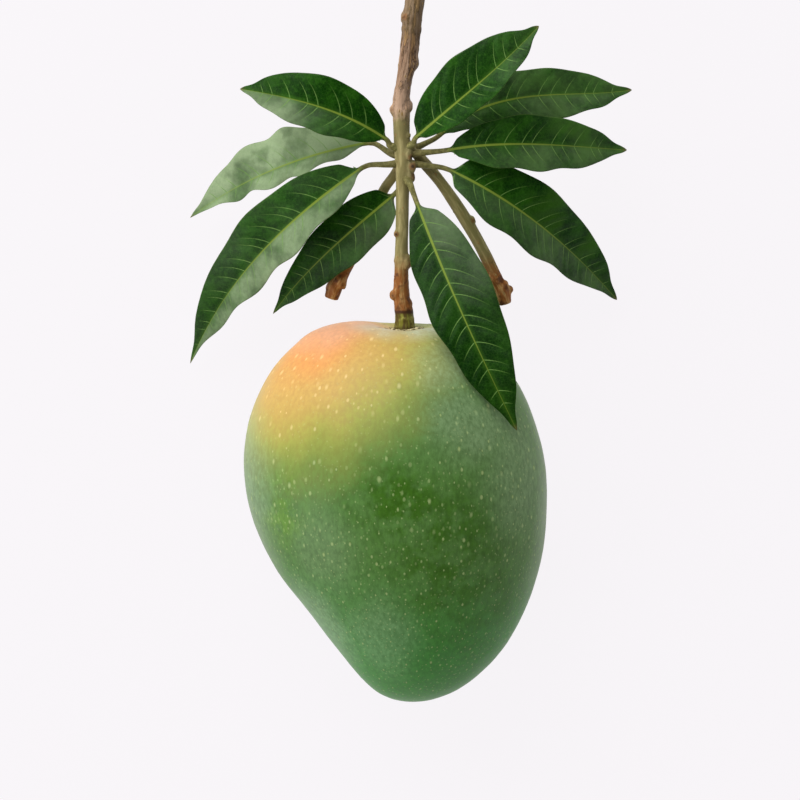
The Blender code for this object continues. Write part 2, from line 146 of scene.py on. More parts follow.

# Leaves: root of the stalk, base of the blade, tip; bow to the right and arch upwards at a third and at two
# thirds; half width on the left and right; roll at base and tip and fold, in degrees; height and number of waves;
# how round the outline is at base and tip; how wavy each margin is; how much pale dusting each half has at base,
# middle and tip, which is also painted sheen on the halves that face the light; and, for some leaves, how much
# deeper their green is.
LEAVES = {
    "leaf_left_1": dict(
        root=(-4.7, 115.4, 48.1), base=(-5.9, 117.4, 49.5), tip=(-53.8, 133.7, 46.0), bow=(5.0, 3.0),
        arch=(9.3, 8.7), width=(8.2, 10.0), roll=(8, 4), fold=13, wave=0.5, waves=2.5, shape=(0.75, 0.9),
        ripple=(0.3, 0.1), dust_and_sheen=((0.0, 0.12, 1.5), (0.0, 0.0, 0.05)),
    ),
    "leaf_left_2": dict(
        root=(-4.3, 112.6, 44.6), base=(-12.0, 116.0, 41.0), tip=(-73.9, 89.6, 12.0), bow=(5.4, 5.4),
        arch=(10.7, -0.6), width=(5.6, 11.3), roll=(20, 20), fold=14, wave=1.3, waves=3.5, shape=(0.85, 1.1),
        ripple=(0.9, 0.6), dust_and_sheen=((0.75, 0.9, 0.9), (1.6, 1.25, 1.0)),
    ),
    "leaf_left_3": dict(
        root=(-4.5, 109.2, 46.4), base=(-13.9, 108.0, 46.0), tip=(-75.1, 38.1, 6.0), bow=(8.3, 9.7),
        arch=(20.4, 5.2), width=(8.6, 12.0), roll=(14, 14), fold=15, wave=0.9, waves=3.0, shape=(0.7, 1.1),
        ripple=(0.9, 0.2), dust_and_sheen=((0.6, 0.85, 0.5), (0.06, 0.08, 0.06)),
    ),
    "leaf_left_4": dict(
        root=(1.6, 106.5, 41.4), base=(-3.4, 98.9, 39.6), tip=(-45.4, 56.5, 14.0), bow=(2.0, 3.5),
        arch=(10.0, 6.4), width=(9.2, 8.6), roll=(2, 14), fold=9, wave=0.8, waves=2.5, shape=(0.5, 1.0),
        ripple=(0.3, 0.1), dust_and_sheen=((0.28, 0.04, 0.08), (0.0, 0.0, 0.0)), depth=0.15,
    ),
    "leaf_right_1": dict(
        root=(2.9, 115.8, 49.2), base=(3.8, 118.0, 50.2), tip=(43.3, 153.8, 56.0), bow=(0.0, 1.6),
        arch=(7.2, 9.7), width=(11.4, 6.8), roll=(-14, -12), fold=15, wave=0.6, waves=2.0, shape=(0.7, 0.85),
        ripple=(0.2, 0.3), dust_and_sheen=((0.0, 0.03, 0.06), (0.0, 0.05, 0.12)),
    ),
    "leaf_right_2": dict(
        root=(5.0, 115.0, 43.4), base=(11.8, 118.7, 42.0), tip=(76.4, 133.4, 28.0), bow=(-13.0, -1.5),
        arch=(8.5, 5.7), width=(9.0, 8.2), roll=(-8, -8), fold=11, wave=0.9, waves=3.0, shape=(0.75, 0.85),
        ripple=(0.2, 0.5), dust_and_sheen=((0.3, 0.1, 0.12), (0.08, 0.2, 0.22)),
    ),
    "leaf_right_3": dict(
        root=(5.6, 113.0, 48.2), base=(14.3, 113.9, 49.0), tip=(75.1, 113.3, 27.0), bow=(-4.2, -1.3),
        arch=(17.6, 5.7), width=(9.5, 8.7), roll=(-8, -8), fold=12, wave=0.5, waves=2.5, shape=(0.75, 0.88),
        ripple=(0.2, 0.5), dust_and_sheen=((0.03, 0.02, 0.1), (0.05, 0.2, 0.14)),
    ),
    "leaf_right_4": dict(
        root=(5.2, 109.1, 46.8), base=(15.0, 107.3, 46.5), tip=(74.4, 60.7, 7.0), bow=(-6.1, -4.5),
        arch=(24.2, 4.2), width=(11.6, 10.0), roll=(-14, -14), fold=15, wave=0.7, waves=2.5, shape=(0.55, 0.87),
        ripple=(0.2, 0.7), dust_and_sheen=((0.0, 0.0, 0.02), (0.1, 0.18, 0.16)),
    ),
    "leaf_front": dict(
        root=(1.9, 102.8, 49.2), base=(4.2, 96.6, 51.2), tip=(36.4, 24.4, 71.2), bow=(1.6, 0.8),
        arch=(7.0, 10.0), width=(12.7, 10.0), roll=(0, 0), fold=10, wave=0.6, waves=2.5, shape=(0.65, 0.95),
        ripple=(0.2, 0.5), dust_and_sheen=((0.35, 0.02, 0.0), (0.03, 0.0, 0.0)), depth=0.42,
    ),
}
CURL = 0.008  # how much each half bends back towards its edge
RIB_COLUMNS = (0.0, 0.025, 0.05, 0.08, 0.12, 0.165)  # places across the blade where the midrib needs them
COLUMN_STEP = 0.0522
ACROSS_HALF = RIB_COLUMNS + tuple(RIB_COLUMNS[-1] + COLUMN_STEP * step for step in range(1, 17))
ACROSS = tuple(-place for place in reversed(ACROSS_HALF[1:])) + ACROSS_HALF
BLADE_STATIONS = 150
PETIOLE_STATIONS = 16
PETIOLE_RADIUS = 0.82  # of the leaf stalk where it meets the blade
VEIN_LEAN = 0.38  # how far a lateral vein runs towards the tip for each mm outwards
VEIN_SWEEP = 0.055  # and how much more as it nears the edge

# Camera: it looks down from over the twig, tilted towards the tail
CAMERA_PLACE = (-1.402, 134.12, 780.4)
CAMERA_TILT = -8.0
CAMERA_LENS = 100.0
CAMERA_SENSOR = 36.0
# Lights: place, size and the power that the sidebar sets
LIGHTS = (
    ("key_light", (-550, 1250, 950), 1500, "key_power"), ("fill_light", (-1250, -400, 700), 1200, "fill_power"),
)
LIGHTS_FACE = (0, 20, 40)
FLOOR_GLOW = 0.95  # share of the floor's colour that is its own glow


def linear(code):
    """Turn an sRGB hex colour into linear red, green and blue."""
    values = []
    for start in (0, 2, 4):
        share = int(code[start : start + 2], 16) / 255
        values.append(share / 12.92 if share <= 0.04045 else ((share + 0.055) / 1.055) ** 2.4)
    return tuple(values)


def colour(name, description, code):
    """A colour that the sidebar shows."""
    return bpy.props.FloatVectorProperty(
        name=name, description=description, default=linear(code), size=3, min=0.0, max=1.0, subtype="COLOR"
    )


def length(name, description, millimetres):
    """A length in metres that the sidebar shows."""
    return bpy.props.FloatProperty(
        name=name, description=description, default=millimetres * MM, min=0.0, precision=5, subtype="DISTANCE",
        unit="LENGTH",
    )


def power(name, description, watts):
    """A light's power that the sidebar shows."""
    return bpy.props.FloatProperty(
        name=name, description=description, default=watts, min=0.0, subtype="POWER", unit="POWER"
    )


class MangoSkinSettings(bpy.types.PropertyGroup):
    squares: bpy.props.IntProperty(
        name="Squares", description="Squares along each edge of the cube that becomes the skin",
        default=96, min=16, max=120,
    )
    swell: length("Swell", "Height of the broad unevenness of the skin", 0.22)
    blush: colour("Blush", "Pink on the shoulder that faced the sun", "daa380")
    orange: colour("Orange", "Warm ground round the blush", "da9654")
    yellow: colour("Yellow", "Ripe yellow beyond the orange", "c5a057")
    olive: colour("Olive", "Yellow-green where the ripening ends", "989c45")
    green: colour("Green", "Body of the fruit", "4f7636")
    deep: colour("Deep green", "Rubbed patches of the body", "35600a")
    tail: colour("Tail green", "Cool green of the tail", "3b7f30")
    # Pale wax, which on the flanks is also a painted sheen
    bloom_and_sheen: colour("Bloom", "Pale wax that clouds the skin", "b4bfa8")


class LenticelSettings(bpy.types.PropertyGroup):
    spacing: length("Spacing", "Least distance between two lenticels of the skin", 1.7)
    smallest: length("Smallest", "Radius of the smallest spot, with the ring round its lenticel", 0.58)
    largest: length("Largest", "Radius of the largest spot, with the ring round its lenticel", 1.5)
    rise: length("Rise", "Height of a lenticel above the skin", 0.06)
    seed: bpy.props.IntProperty(name="Seed", description="Which scatter of lenticels is used", default=7)
    cork: colour("Cork", "Pale yellow cork of a lenticel", "c4d592")


class TwigSettings(bpy.types.PropertyGroup):
    grain: length("Grain", "Edge of the small cubes that join the stems into one skin", 0.34)
    ridges: length("Ridges", "Height of the ridges of the old bark", 0.2)
    old_bark: colour("Old bark", "Brown bark of last year's wood", "866951")
    young_bark: colour("Young bark", "Olive bark of this year's wood", "81784a")
    foot: colour("Foot", "Red-brown wood above the fruit", "86501f")
    collar: colour("Collar", "Yellow-green collar where the stalk meets the fruit", "7d7a2c")
    cut: colour("Cut wood", "Pale wood where the twig was cut", "cdb98a")


class LeafSettings(bpy.types.PropertyGroup):
    thickness: length("Thickness", "Thickness of a blade beside its midrib", 0.36)
    vein_gap: length("Vein gap", "Distance between the lateral veins along the midrib", 5.4)
    quilt: length("Quilting", "How far the blade rises between two veins", 0.2)
    dark: colour("Blade", "Dark green of the upper face", "093300")
    # Colour of the pale dusting, which is also the painted sheen on the leaves
    light: colour("Light patches", "Fresher green in patches of the upper face", "1f4c08")
    dust_and_sheen: colour("Dust", "Pale film that dulls parts of the blade", "90a37c")
    midrib: colour("Midrib", "Yellow-green midrib", "7f9236")
    petiole: colour("Leaf stalk", "Olive leaf stalk", "66643a")


class StageSettings(bpy.types.PropertyGroup):
    floor: colour("Floor", "Plain pale floor and surroundings", "f8f5f8")
    key_power: power("Key light", "Power of the large soft light beyond the stem end", 26.0)
    fill_power: power("Fill light", "Power of the soft light at the left", 9.0)


def add_node(tree, kind, inputs=None, **settings):
    """Add a node to a tree, with its settings, and set or link its inputs."""
    node = tree.nodes.new(kind)
    for name, value in settings.items():
        setattr(node, name, value)
    for key, value in (inputs or {}).items():
        if isinstance(value, bpy.types.NodeSocket):
            tree.links.new(value, node.inputs[key])
        elif isinstance(value, bpy.types.Node):
            tree.links.new(value.outputs[0], node.inputs[key])
        else:
            node.inputs[key].default_value = value
    return node


def new_finish(name, **surface):
    """A material with a plain shader whose uniform values are given, its tree and its shader."""
    material = bpy.data.materials.new(name)
    material.use_nodes = True
    tree = material.node_tree
    shader = tree.nodes["Principled BSDF"]
    for key, value in surface.items():
        shader.inputs[key.replace("_", " ")].default_value = value
    return material, tree, shader


def blend_colours(tree, share, first, second):
    """Mix two colours by a share; each is a socket, an sRGB hex code or linear red, green and blue."""
    colours = []
    for value in (first, second):
        value = linear(value) if isinstance(value, str) else value
        colours.append(value if isinstance(value, bpy.types.NodeSocket) else (*value, 1.0))
    mix = add_node(tree, "ShaderNodeMix", {0: share, 6: colours[0], 7: colours[1]}, data_type="RGBA")
    return mix.outputs[2]


def compute(tree, operation, *values):
    """One step of arithmetic on sockets and numbers."""
    return add_node(tree, "ShaderNodeMath", dict(enumerate(values)), operation=operation).outputs[0]


def ease(tree, value, start, end, low=0.0, high=1.0):
    """Run smoothly from low to high while a value goes from start to end."""
    inputs = {0: value, 1: start, 2: end, 3: low, 4: high}
    return add_node(tree, "ShaderNodeMapRange", inputs, interpolation_type="SMOOTHSTEP").outputs[0]


def paint(tree, shade, *layers):
    """Lay colours over a shade in turn, each given as the value it follows, start, end, strength and colour."""
    for value, start, full, strength, layer in layers:
        shade = blend_colours(tree, ease(tree, value, start, full, 0.0, strength), shade, layer)
    return shade


def grain(tree, place, scale, detail=2.0, roughness=0.5):
    """Cloudy noise between 0 and 1, its scale in repeats for each unit of place."""
    inputs = {"Vector": place, "Scale": scale, "Detail": detail, "Roughness": roughness}
    return add_node(tree, "ShaderNodeTexNoise", inputs).outputs[0]


def combine(tree, operation, first, second):
    """One step of arithmetic on two vectors."""
    return add_node(tree, "ShaderNodeVectorMath", {0: first, 1: second}, operation=operation).outputs[0]


def scale_by(tree, vector, factor):
    """A vector or colour times a number."""
    return add_node(tree, "ShaderNodeVectorMath", {0: vector, 3: factor}, operation="SCALE").outputs[0]


def parts_of(tree, vector):
    """X, Y and Z of a vector."""
    return add_node(tree, "ShaderNodeSeparateXYZ", {0: vector}).outputs


def kept(tree, name, output="Fac"):
    """What the mesh of a piece keeps under this name."""
    return add_node(tree, "ShaderNodeAttribute", attribute_name=name).outputs[output]


def millimetre_place(tree):
    """The place on a piece in millimetres."""
    return scale_by(tree, add_node(tree, "ShaderNodeTexCoord").outputs["Object"], 1 / MM)


def distance_from(tree, place, centre, reach=(1.0, 1.0, 1.0)):
    """How far a place is from a centre, counted in reaches along X, Y and Z."""
    counted = combine(tree, "DIVIDE", combine(tree, "SUBTRACT", place, centre), reach)
    return add_node(tree, "ShaderNodeVectorMath", {0: counted}, operation="LENGTH").outputs["Value"]


def patch(tree, place, centre, reach, strength=1.0):
    """A soft-edged patch round a centre, at its strength in the middle and down to 0 at its reach."""
    return ease(tree, distance_from(tree, place, centre, reach), 0.25, 1.0, strength, 0.0)


def add_relief(tree, shader, height, depth_mm):
    """Let a height between 0 and 1 catch the light as relief of that depth."""
    bump = add_node(tree, "ShaderNodeBump", {"Height": height, "Distance": depth_mm * MM, "Strength": 1.0})
    tree.links.new(bump.outputs[0], shader.inputs["Normal"])


def through(points, place):
    """Read a smooth curve through rows of numbers at a place counted in rows."""
    last = len(points) - 1
    row = min(int(place), last - 1)
    part = place - row
    before, start = points[max(row - 1, 0)], points[row]
    end, after = points[row + 1], points[min(row + 2, last)]
    result = []
    for a, b, c, d in zip(before, start, end, after):
        bend = (2 * a - 5 * b + 4 * c - d) * part**2 + (3 * b - a - 3 * c + d) * part**3
        result.append(0.5 * (2 * b + (c - a) * part + bend))
    return result


def smooth(value, start, end):
    """0 before start, 1 after end, and smooth between."""
    part = max(0.0, min(1.0, (value - start) / (end - start)))
    return part * part * (3 - 2 * part)


def put_in_scene(name, data):
    """Put a new object with this mesh, light or camera in the scene."""
    made = bpy.data.objects.new(name, data)
    bpy.context.scene.collection.objects.link(made)
    return made


def to_mesh(bm, name):
    """Turn a bmesh into a mesh, and free it."""
    mesh = bpy.data.meshes.new(name)
    bm.to_mesh(mesh)
    bm.free()
    return mesh


def join_rings(bm, near, far):
    """Close the gap between two rings of vertices with squares."""
    for index, corner in enumerate(near):
        following = (index + 1) % len(near)
        bm.faces.new((corner, near[following], far[following], far[index]))


def result_of(guide, name):
    """The mesh that an object's modifiers make; the object is removed."""
    mesh = bpy.data.meshes.new_from_object(guide.evaluated_get(bpy.context.evaluated_depsgraph_get()))
    bpy.data.objects.remove(guide, do_unlink=True)
    if not len(mesh.polygons):
        raise RuntimeError(name + " made nothing")
    return mesh


def add_piece(name, mesh, materials):
    """Put a finished mesh in the scene as a piece that rides on the part's one body."""
    piece = put_in_scene(name, mesh)
    if not len(mesh.materials):
        for material in materials:
            mesh.materials.append(material)
    mesh.shade_smooth()
    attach(piece, "root")
    return piece


def store(mesh, **attributes):
    """Keep attributes on a mesh, each with one number or vector for each vertex."""
    for name, values in attributes.items():
        values = np.asarray(values, dtype=np.float32)
        kind, key = ("FLOAT", "value") if values.ndim == 1 else ("FLOAT_VECTOR", "vector")
        mesh.attributes.new(name, kind, "POINT").data.foreach_set(key, values.ravel())


def new_tree(name, **sockets):
    """A tree of geometry nodes with inputs named by kind, and its group input's sockets."""
    tree = bpy.data.node_groups.new(name, "GeometryNodeTree")
    for way in ("INPUT", "OUTPUT"):
        tree.interface.new_socket("Geometry", in_out=way, socket_type="NodeSocketGeometry")
    for kind, labels in sockets.items():
        for label in labels:
            tree.interface.new_socket(label, in_out="INPUT", socket_type="NodeSocket" + kind)
    return tree, add_node(tree, "NodeGroupInput").outputs


def end_tree(tree, geometry, material):
    """Make a tree's geometry real, give it the material and hand it out."""
    real = add_node(tree, "GeometryNodeRealizeInstances", {0: geometry})
    finished = add_node(tree, "GeometryNodeSetMaterial", {"Geometry": real, "Material": material})
    add_node(tree, "NodeGroupOutput", {0: finished})
    return tree


def named(tree, name, kind="FLOAT"):
    """An attribute of the mesh that a tree of geometry nodes works on."""
    return add_node(tree, "GeometryNodeInputNamedAttribute", {"Name": name}, data_type=kind)


def chance_node(tree, seed):
    """A random value between 0 and 1 for each point."""
    return add_node(tree, "FunctionNodeRandomValue", {2: 0.0, 3: 1.0, 8: seed}, data_type="FLOAT").outputs[1]


def grow(tree, mesh, values):
    """Run a tree on a mesh with the values of its named inputs, and return the result as a plain mesh."""
    guide = put_in_scene(tree.name + "_guide", mesh)
    modifier = guide.modifiers.new(tree.name, "NODES")
    modifier.node_group = tree
    for item in tree.interface.items_tree:
        if item.item_type == "SOCKET" and item.in_out == "INPUT" and item.name in values:
            modifier[item.identifier] = values[item.name]
    return result_of(guide, tree.name)


def lenticel_tree(name):
    """Low round spots scattered over a surface, each lying along the attribute named way.

    A spot is a ring of 10 facets twice over. Its attribute core runs from 0 at the rim to 1 in the middle, and
    tone is one random value for each spot.
    """
    numbers = ("Spacing", "Density", "Smallest", "Largest", "Stretch", "Rise")
    tree, given = new_tree(name, Float=numbers, Int=("Seed",), Material=("Material",))
    points = add_node(
        tree, "GeometryNodeDistributePointsOnFaces",
        {
            "Mesh": given["Geometry"], "Distance Min": given["Spacing"], "Density Max": given["Density"],
            "Density Factor": named(tree, "share"), "Seed": given["Seed"],
        },
        distribute_method="POISSON",
    )
    turn = add_node(
        tree, "FunctionNodeAxesToRotation", {0: points.outputs["Normal"], 1: named(tree, "way", "FLOAT_VECTOR")},
        primary_axis="Z", secondary_axis="Y",
    )
    few_large = compute(tree, "POWER", chance_node(tree, given["Seed"]), 2.0)
    radius = add_node(tree, "ShaderNodeMapRange", {0: few_large, 3: given["Smallest"], 4: given["Largest"]})
    toned = add_node(
        tree, "GeometryNodeStoreNamedAttribute",
        {"Geometry": points, "Name": "tone", "Value": chance_node(tree, 11)},
        data_type="FLOAT", domain="POINT",
    )
    cone = add_node(
        tree, "GeometryNodeMeshCone",
        {"Vertices": 10, "Side Segments": 2, "Radius Top": 0.0, "Radius Bottom": 1.0, "Depth": 1.0},
        fill_type="NONE",
    )
    x, y, z = parts_of(tree, add_node(tree, "GeometryNodeInputPosition"))
    cored = add_node(
        tree, "GeometryNodeStoreNamedAttribute", {"Geometry": cone, "Name": "core", "Value": z},
        data_type="FLOAT", domain="POINT",
    )
    lifted = compute(tree, "MULTIPLY_ADD", compute(tree, "POWER", z, 2.0), given["Rise"], -0.02)
    stretched = compute(tree, "MULTIPLY", y, given["Stretch"])
    shaped = add_node(tree, "ShaderNodeCombineXYZ", {0: x, 1: stretched, 2: lifted})
    spot = add_node(tree, "GeometryNodeSetPosition", {"Geometry": cored, "Position": shaped})
    scale = compute(tree, "MULTIPLY", radius, named(tree, "size"))
    placed = add_node(
        tree, "GeometryNodeInstanceOnPoints", {"Points": toned, "Instance": spot, "Rotation": turn, "Scale": scale}
    )
    return end_tree(tree, placed, given["Material"])


def vein_tree():
    """Round ribs along the lines of a mesh, as thick as the attribute named thickness says."""
    tree, given = new_tree("lateral_veins", Int=("Sides",), Material=("Material",))
    line = add_node(tree, "GeometryNodeMeshToCurve", {"Mesh": given["Geometry"]})
    ring = add_node(
        tree, "GeometryNodeCurvePrimitiveCircle", {"Resolution": given["Sides"], "Radius": 1.0}, mode="RADIUS"
    )
    rib = add_node(
        tree, "GeometryNodeCurveToMesh",
        {"Curve": line, "Profile Curve": ring, "Scale": named(tree, "thickness"), "Fill Caps": True},
    )
    return end_tree(tree, rib, given["Material"])


def skin_point(direction):
    """Move a point of the unit sphere, with the stem end at +Y, to the skin, in millimetres."""
    polar = math.degrees(math.acos(max(-1.0, min(1.0, direction.y))))
    left, right, depth = through(SKIN_KNOTS, polar / KNOT_STEP)
    side = left if direction.x < 0 else right
    x = direction.x * side
    z = direction.z * depth
    y = direction.y * (STEM_END if direction.y > 0 else TAIL_END)
    if direction.y > 0:
        y -= STEM_PIT_DEPTH * math.exp(-(x * x + z * z) / STEM_PIT_RADIUS**2)
    along = y - REST_FROM_MIDDLE
    return Vector((x + REST_FROM_AXIS + AXIS_LEAN * along, along, z + AXIS_HEIGHT))


def skin_relief(point):
    """How far the real skin stands off the smooth form, as a share of the swell."""
    broad = noise.fractal(point * 0.045, 1.0, 2.0, 2)
    fine = noise.fractal(point * 0.22 + Vector((9, 4, 2)), 1.0, 2.0, 3)
    from_stalk = math.hypot(point.x, point.z - AXIS_HEIGHT)
    creases = 0.0
    if point.y > 30:
        turn = math.atan2(point.z - AXIS_HEIGHT, point.x)
        creases = math.sin(7 * turn + 1.3 * math.sin(2 * turn)) * math.exp(-(((from_stalk - 8) / 5) ** 2))
    return broad + 0.25 * fine + 0.6 * creases


def rind_shade(tree, look):
    """Colour of the rind from ripe shoulder to green tail, and the place, mottling and unripeness it goes by."""
    place = millimetre_place(tree)
    clouds = add_node(tree, "ShaderNodeTexNoise", {"Vector": place, "Scale": 0.05, "Detail": 2.0})
    drift = combine(tree, "SUBTRACT", clouds.outputs["Color"], (0.5, 0.5, 0.5))
    loose = combine(tree, "ADD", place, scale_by(tree, drift, RIND_DRIFT))
    # Mottling: short streaks about 1 mm across that follow the length of the fruit
    mottle = grain(tree, combine(tree, "MULTIPLY", place, (1.0, 0.5, 1.0)), 0.8, 5.0, 0.65)
    distance = distance_from(tree, loose, SUNNY_SHOULDER)
    mottled = compute(tree, "MULTIPLY_ADD", mottle, 0.2, -0.1)
    ripe = compute(tree, "MULTIPLY_ADD", distance, 1 / RIPENING_REACH, mottled)
    shade = paint(
        tree, look.orange, (ripe, 0.1, 0.4, 1.0, look.yellow), (ripe, 0.34, 0.78, 1.0, look.olive),
        (ripe, 0.62, 1.06, 1.0, look.green),
    )
    shade = blend_colours(tree, patch(tree, loose, *BLUSH_PATCH), shade, look.blush)
    shade = paint(tree, shade, (parts_of(tree, loose)[1], -14.0, -50.0, 0.9, look.tail))
    rubbed = ease(tree, grain(tree, place, 0.13, 4.0, 0.6), 0.38, 0.6)
    for spread, layer in [(spread, look.deep) for spread in DEEP_PATCHES] + [(PALE_GREEN_PATCH, "618a26")]:
        shade = blend_colours(tree, compute(tree, "MULTIPLY", patch(tree, loose, *spread), rubbed), shade, layer)
    # Pale wax clouding the rind; on the left and right flanks it is also a painted sheen at the edges
    haze = 0.0
    for spread in WAX_AND_SHEEN_PATCHES:
        haze = compute(tree, "MAXIMUM", haze, patch(tree, loose, *spread))
    haze = compute(tree, "MULTIPLY", haze, ease(tree, mottle, 0.25, 0.75, 0.6, 1.0))
    shade = blend_colours(tree, haze, shade, look.bloom_and_sheen)
    # Painted shade: a dark ring round the foot of the stalk, deep in the pit
    shade = paint(tree, shade, (distance_from(tree, loose, PIT_FLOOR), 6.0, 3.5, 0.75, "4b3a1c"))
    unripe = ease(tree, ripe, 0.45, 1.0)
    contrast = compute(tree, "MULTIPLY_ADD", unripe, 0.1, 0.08)
    uneven = compute(tree, "MULTIPLY", ease(tree, mottle, 0.3, 0.7, -1.0, 1.0), contrast)
    return scale_by(tree, shade, compute(tree, "ADD", uneven, 0.985)), place, mottle, unripe


def mango_skin_finish(look):
    """Rind of a ripening mango: tough and waxy, with a low soft gloss and a haze of wax at a low angle."""
    material, tree, shader = new_finish(
        "waxy_mango_rind", Roughness=0.45, Specular_IOR_Level=0.22, IOR=1.45, Sheen_Weight=0.05,
        Sheen_Roughness=0.35,
    )
    shade, place, mottle, _unripe = rind_shade(tree, look)
    # Pores too small for spots of their own: cells of 1.6 mm, drawn as dots of up to 0.8 mm
    pores = add_node(tree, "ShaderNodeTexVoronoi", {"Vector": place, "Scale": 0.6, "Randomness": 1.0})
    dots = ease(tree, pores.outputs["Distance"], 0.24, 0.05, 0.0, 0.2)
    tree.links.new(blend_colours(tree, dots, shade, "b9c887"), shader.inputs["Base Color"])
    tree.links.new(ease(tree, mottle, 0.25, 0.75, 0.38, 0.54), shader.inputs["Roughness"])
    height = compute(tree, "ADD", grain(tree, place, 1.6, 2.0), compute(tree, "MULTIPLY", dots, 3.0))
    add_relief(tree, shader, height, 0.03)
    return material


def lenticel_finish(look, cork):
    """Lenticels: pale cork dots that fade into the rind, some in a ring of darker green where it is unripe."""
    material, tree, shader = new_finish("lenticel_cork", Roughness=0.5, Specular_IOR_Level=0.2, IOR=1.45)
    rind, _place, _mottle, unripe = rind_shade(tree, look)
    core, tone = kept(tree, "core"), kept(tree, "tone")
    halo = compute(tree, "MULTIPLY", ease(tree, core, 0.05, 0.45), ease(tree, tone, 0.55, 1.0, 0.0, 0.75))
    shade = blend_colours(tree, compute(tree, "MULTIPLY", halo, unripe), rind, look.deep)
    dot = compute(tree, "MULTIPLY", ease(tree, core, 0.15, 0.95), ease(tree, tone, 0.0, 1.0, 0.15, 0.48))
    shade = blend_colours(tree, dot, shade, blend_colours(tree, unripe, "f6dd9c", cork))
    tree.links.new(shade, shader.inputs["Base Color"])
    return material


class MANGO_OT_skin(bpy.types.Operator):
    """Make the fruit's skin from a cube blown up into the fruit and cut flat where it rests"""

    bl_idname = "mango.skin"
    bl_label = "Skin"

    def execute(self, context):
        look = context.scene.mango_skin
        bm = bmesh.new()
        bmesh.ops.create_cube(bm, size=2.0)
        bmesh.ops.subdivide_edges(bm, edges=bm.edges[:], cuts=look.squares - 1, use_grid_fill=True)
        for vert in bm.verts:
            spread = Vector([math.tan(value * math.pi / 4) for value in vert.co])
            vert.co = skin_point(spread.normalized()) * MM
        bm.normal_update()
        for vert in bm.verts:
            point = vert.co / MM
            clear = smooth(point.z, 0.5, 6.0)
            vert.co += vert.normal * skin_relief(point) * look.swell * clear
        cut = bmesh.ops.bisect_plane(
            bm, geom=bm.verts[:] + bm.edges[:] + bm.faces[:], dist=0.02 * MM,
            plane_co=(0, 0, 0), plane_no=(0, 0, -1), clear_outer=True,
        )
        rim = [item for item in cut["geom_cut"] if isinstance(item, bmesh.types.BMEdge)]
        bmesh.ops.edgeloop_fill(bm, edges=rim)
        bmesh.ops.recalc_face_normals(bm, faces=bm.faces[:])
        mesh = to_mesh(bm, "skin")
        # Lenticels: more and smaller ones towards the tail, none on the resting spot or in the pit
        shares, sizes = [], []
        for vert in mesh.vertices:
            x, y, z = vert.co / MM
            bare = z < 1.2 or (math.hypot(x, z - AXIS_HEIGHT) < 6.5 and y > 40)
            towards_tail = smooth(-y, -25, 40)
            shares.append(0.0 if bare else 0.3 + 0.7 * towards_tail)
            sizes.append(1.0 - 0.45 * towards_tail)
        store(mesh, share=shares, size=sizes, way=[(0.0, 1.0, 0.0)] * len(shares))
        skin = add_piece("skin", mesh, [mango_skin_finish(look)])
        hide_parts("mango")
        return {"FINISHED"}


class MANGO_OT_lenticels(bpy.types.Operator):
    """Scatter the corky lenticels over the skin"""

    bl_idname = "mango.lenticels"
    bl_label = "Lenticels"

    def execute(self, context):
        look = context.scene.mango_lenticels
        values = {
            "Spacing": look.spacing, "Density": LENTICEL_DENSITY, "Smallest": look.smallest,
            "Largest": look.largest, "Stretch": 1.5, "Rise": look.rise / MM, "Seed": look.seed,
            "Material": lenticel_finish(context.scene.mango_skin, look.cork),
        }
        mesh = grow(lenticel_tree("skin_lenticels"), bpy.data.objects["skin"].data.copy(), values)
        add_piece("skin_lenticels", mesh, [values["Material"]])
        return {"FINISHED"}


def stem_stations(points, steps):
    """Centre, radius, direction, side and upward direction along a stem, closely spaced."""
    count = (len(points) - 1) * steps + 1
    rows = [through(points, index / steps) for index in range(count)]
    centres = [Vector(row[:3]) for row in rows]
    stations = []
    for index, row in enumerate(rows):
        before, after = centres[max(index - 1, 0)], centres[min(index + 1, count - 1)]
        direction = (after - before).normalized()
        side = direction.cross(Vector((0, 0, 1))).normalized()
        stations.append((centres[index], row[3], direction, side, side.cross(direction)))
    return stations


def add_tube(bm, stations, sides, scars=()):
    """Add a closed round tube along a stem, slightly fluted, with raised rings where scars are."""
    rings = []
    for centre, radius, _direction, side, up in stations:
        for where, height, width in scars:
            radius += height * math.exp(-(((centre.y - where) / width) ** 2))
        ring = []
        for index in range(sides):
            turn = 2 * math.pi * index / sides
            outward = side * math.cos(turn) + up * math.sin(turn)
            flute = 0.1 * noise.noise(Vector((math.cos(turn) * 1.6, math.sin(turn) * 1.6, centre.y * 0.12)))
            ring.append(bm.verts.new((centre + outward * (radius + flute)) * MM))
        rings.append(ring)
    for near, far in zip(rings, rings[1:]):
        join_rings(bm, near, far)
    bm.faces.new(reversed(rings[0]))
    bm.faces.new(rings[-1])


def add_knob(bm, place):
    """Add one uneven round knob."""
    centre = Vector(place[:3]) * MM
    made = bmesh.ops.create_uvsphere(
        bm, u_segments=20, v_segments=12, radius=place[3] * MM, matrix=Matrix.Translation(centre)
    )
    for vert in made["verts"]:
        outward = vert.co - centre
        outward.y *= 1.35
        vert.co = centre + outward * (1 + 0.25 * noise.noise(vert.co / MM * 0.8))


def add_bud(bm, place, way, long, radius):
    """Add one small pointed bud."""
    made = bmesh.ops.create_uvsphere(bm, u_segments=16, v_segments=14, radius=1.0)
    turn = Vector((0, 0, 1)).rotation_difference(Vector(way).normalized()).to_matrix()
    for vert in made["verts"]:
        slim = radius * (1 - 0.45 * smooth(vert.co.z, -0.2, 1.0))
        shaped = Vector((vert.co.x * slim, vert.co.y * slim, vert.co.z * long / 2))
        vert.co = (Vector(place) + turn @ shaped) * MM


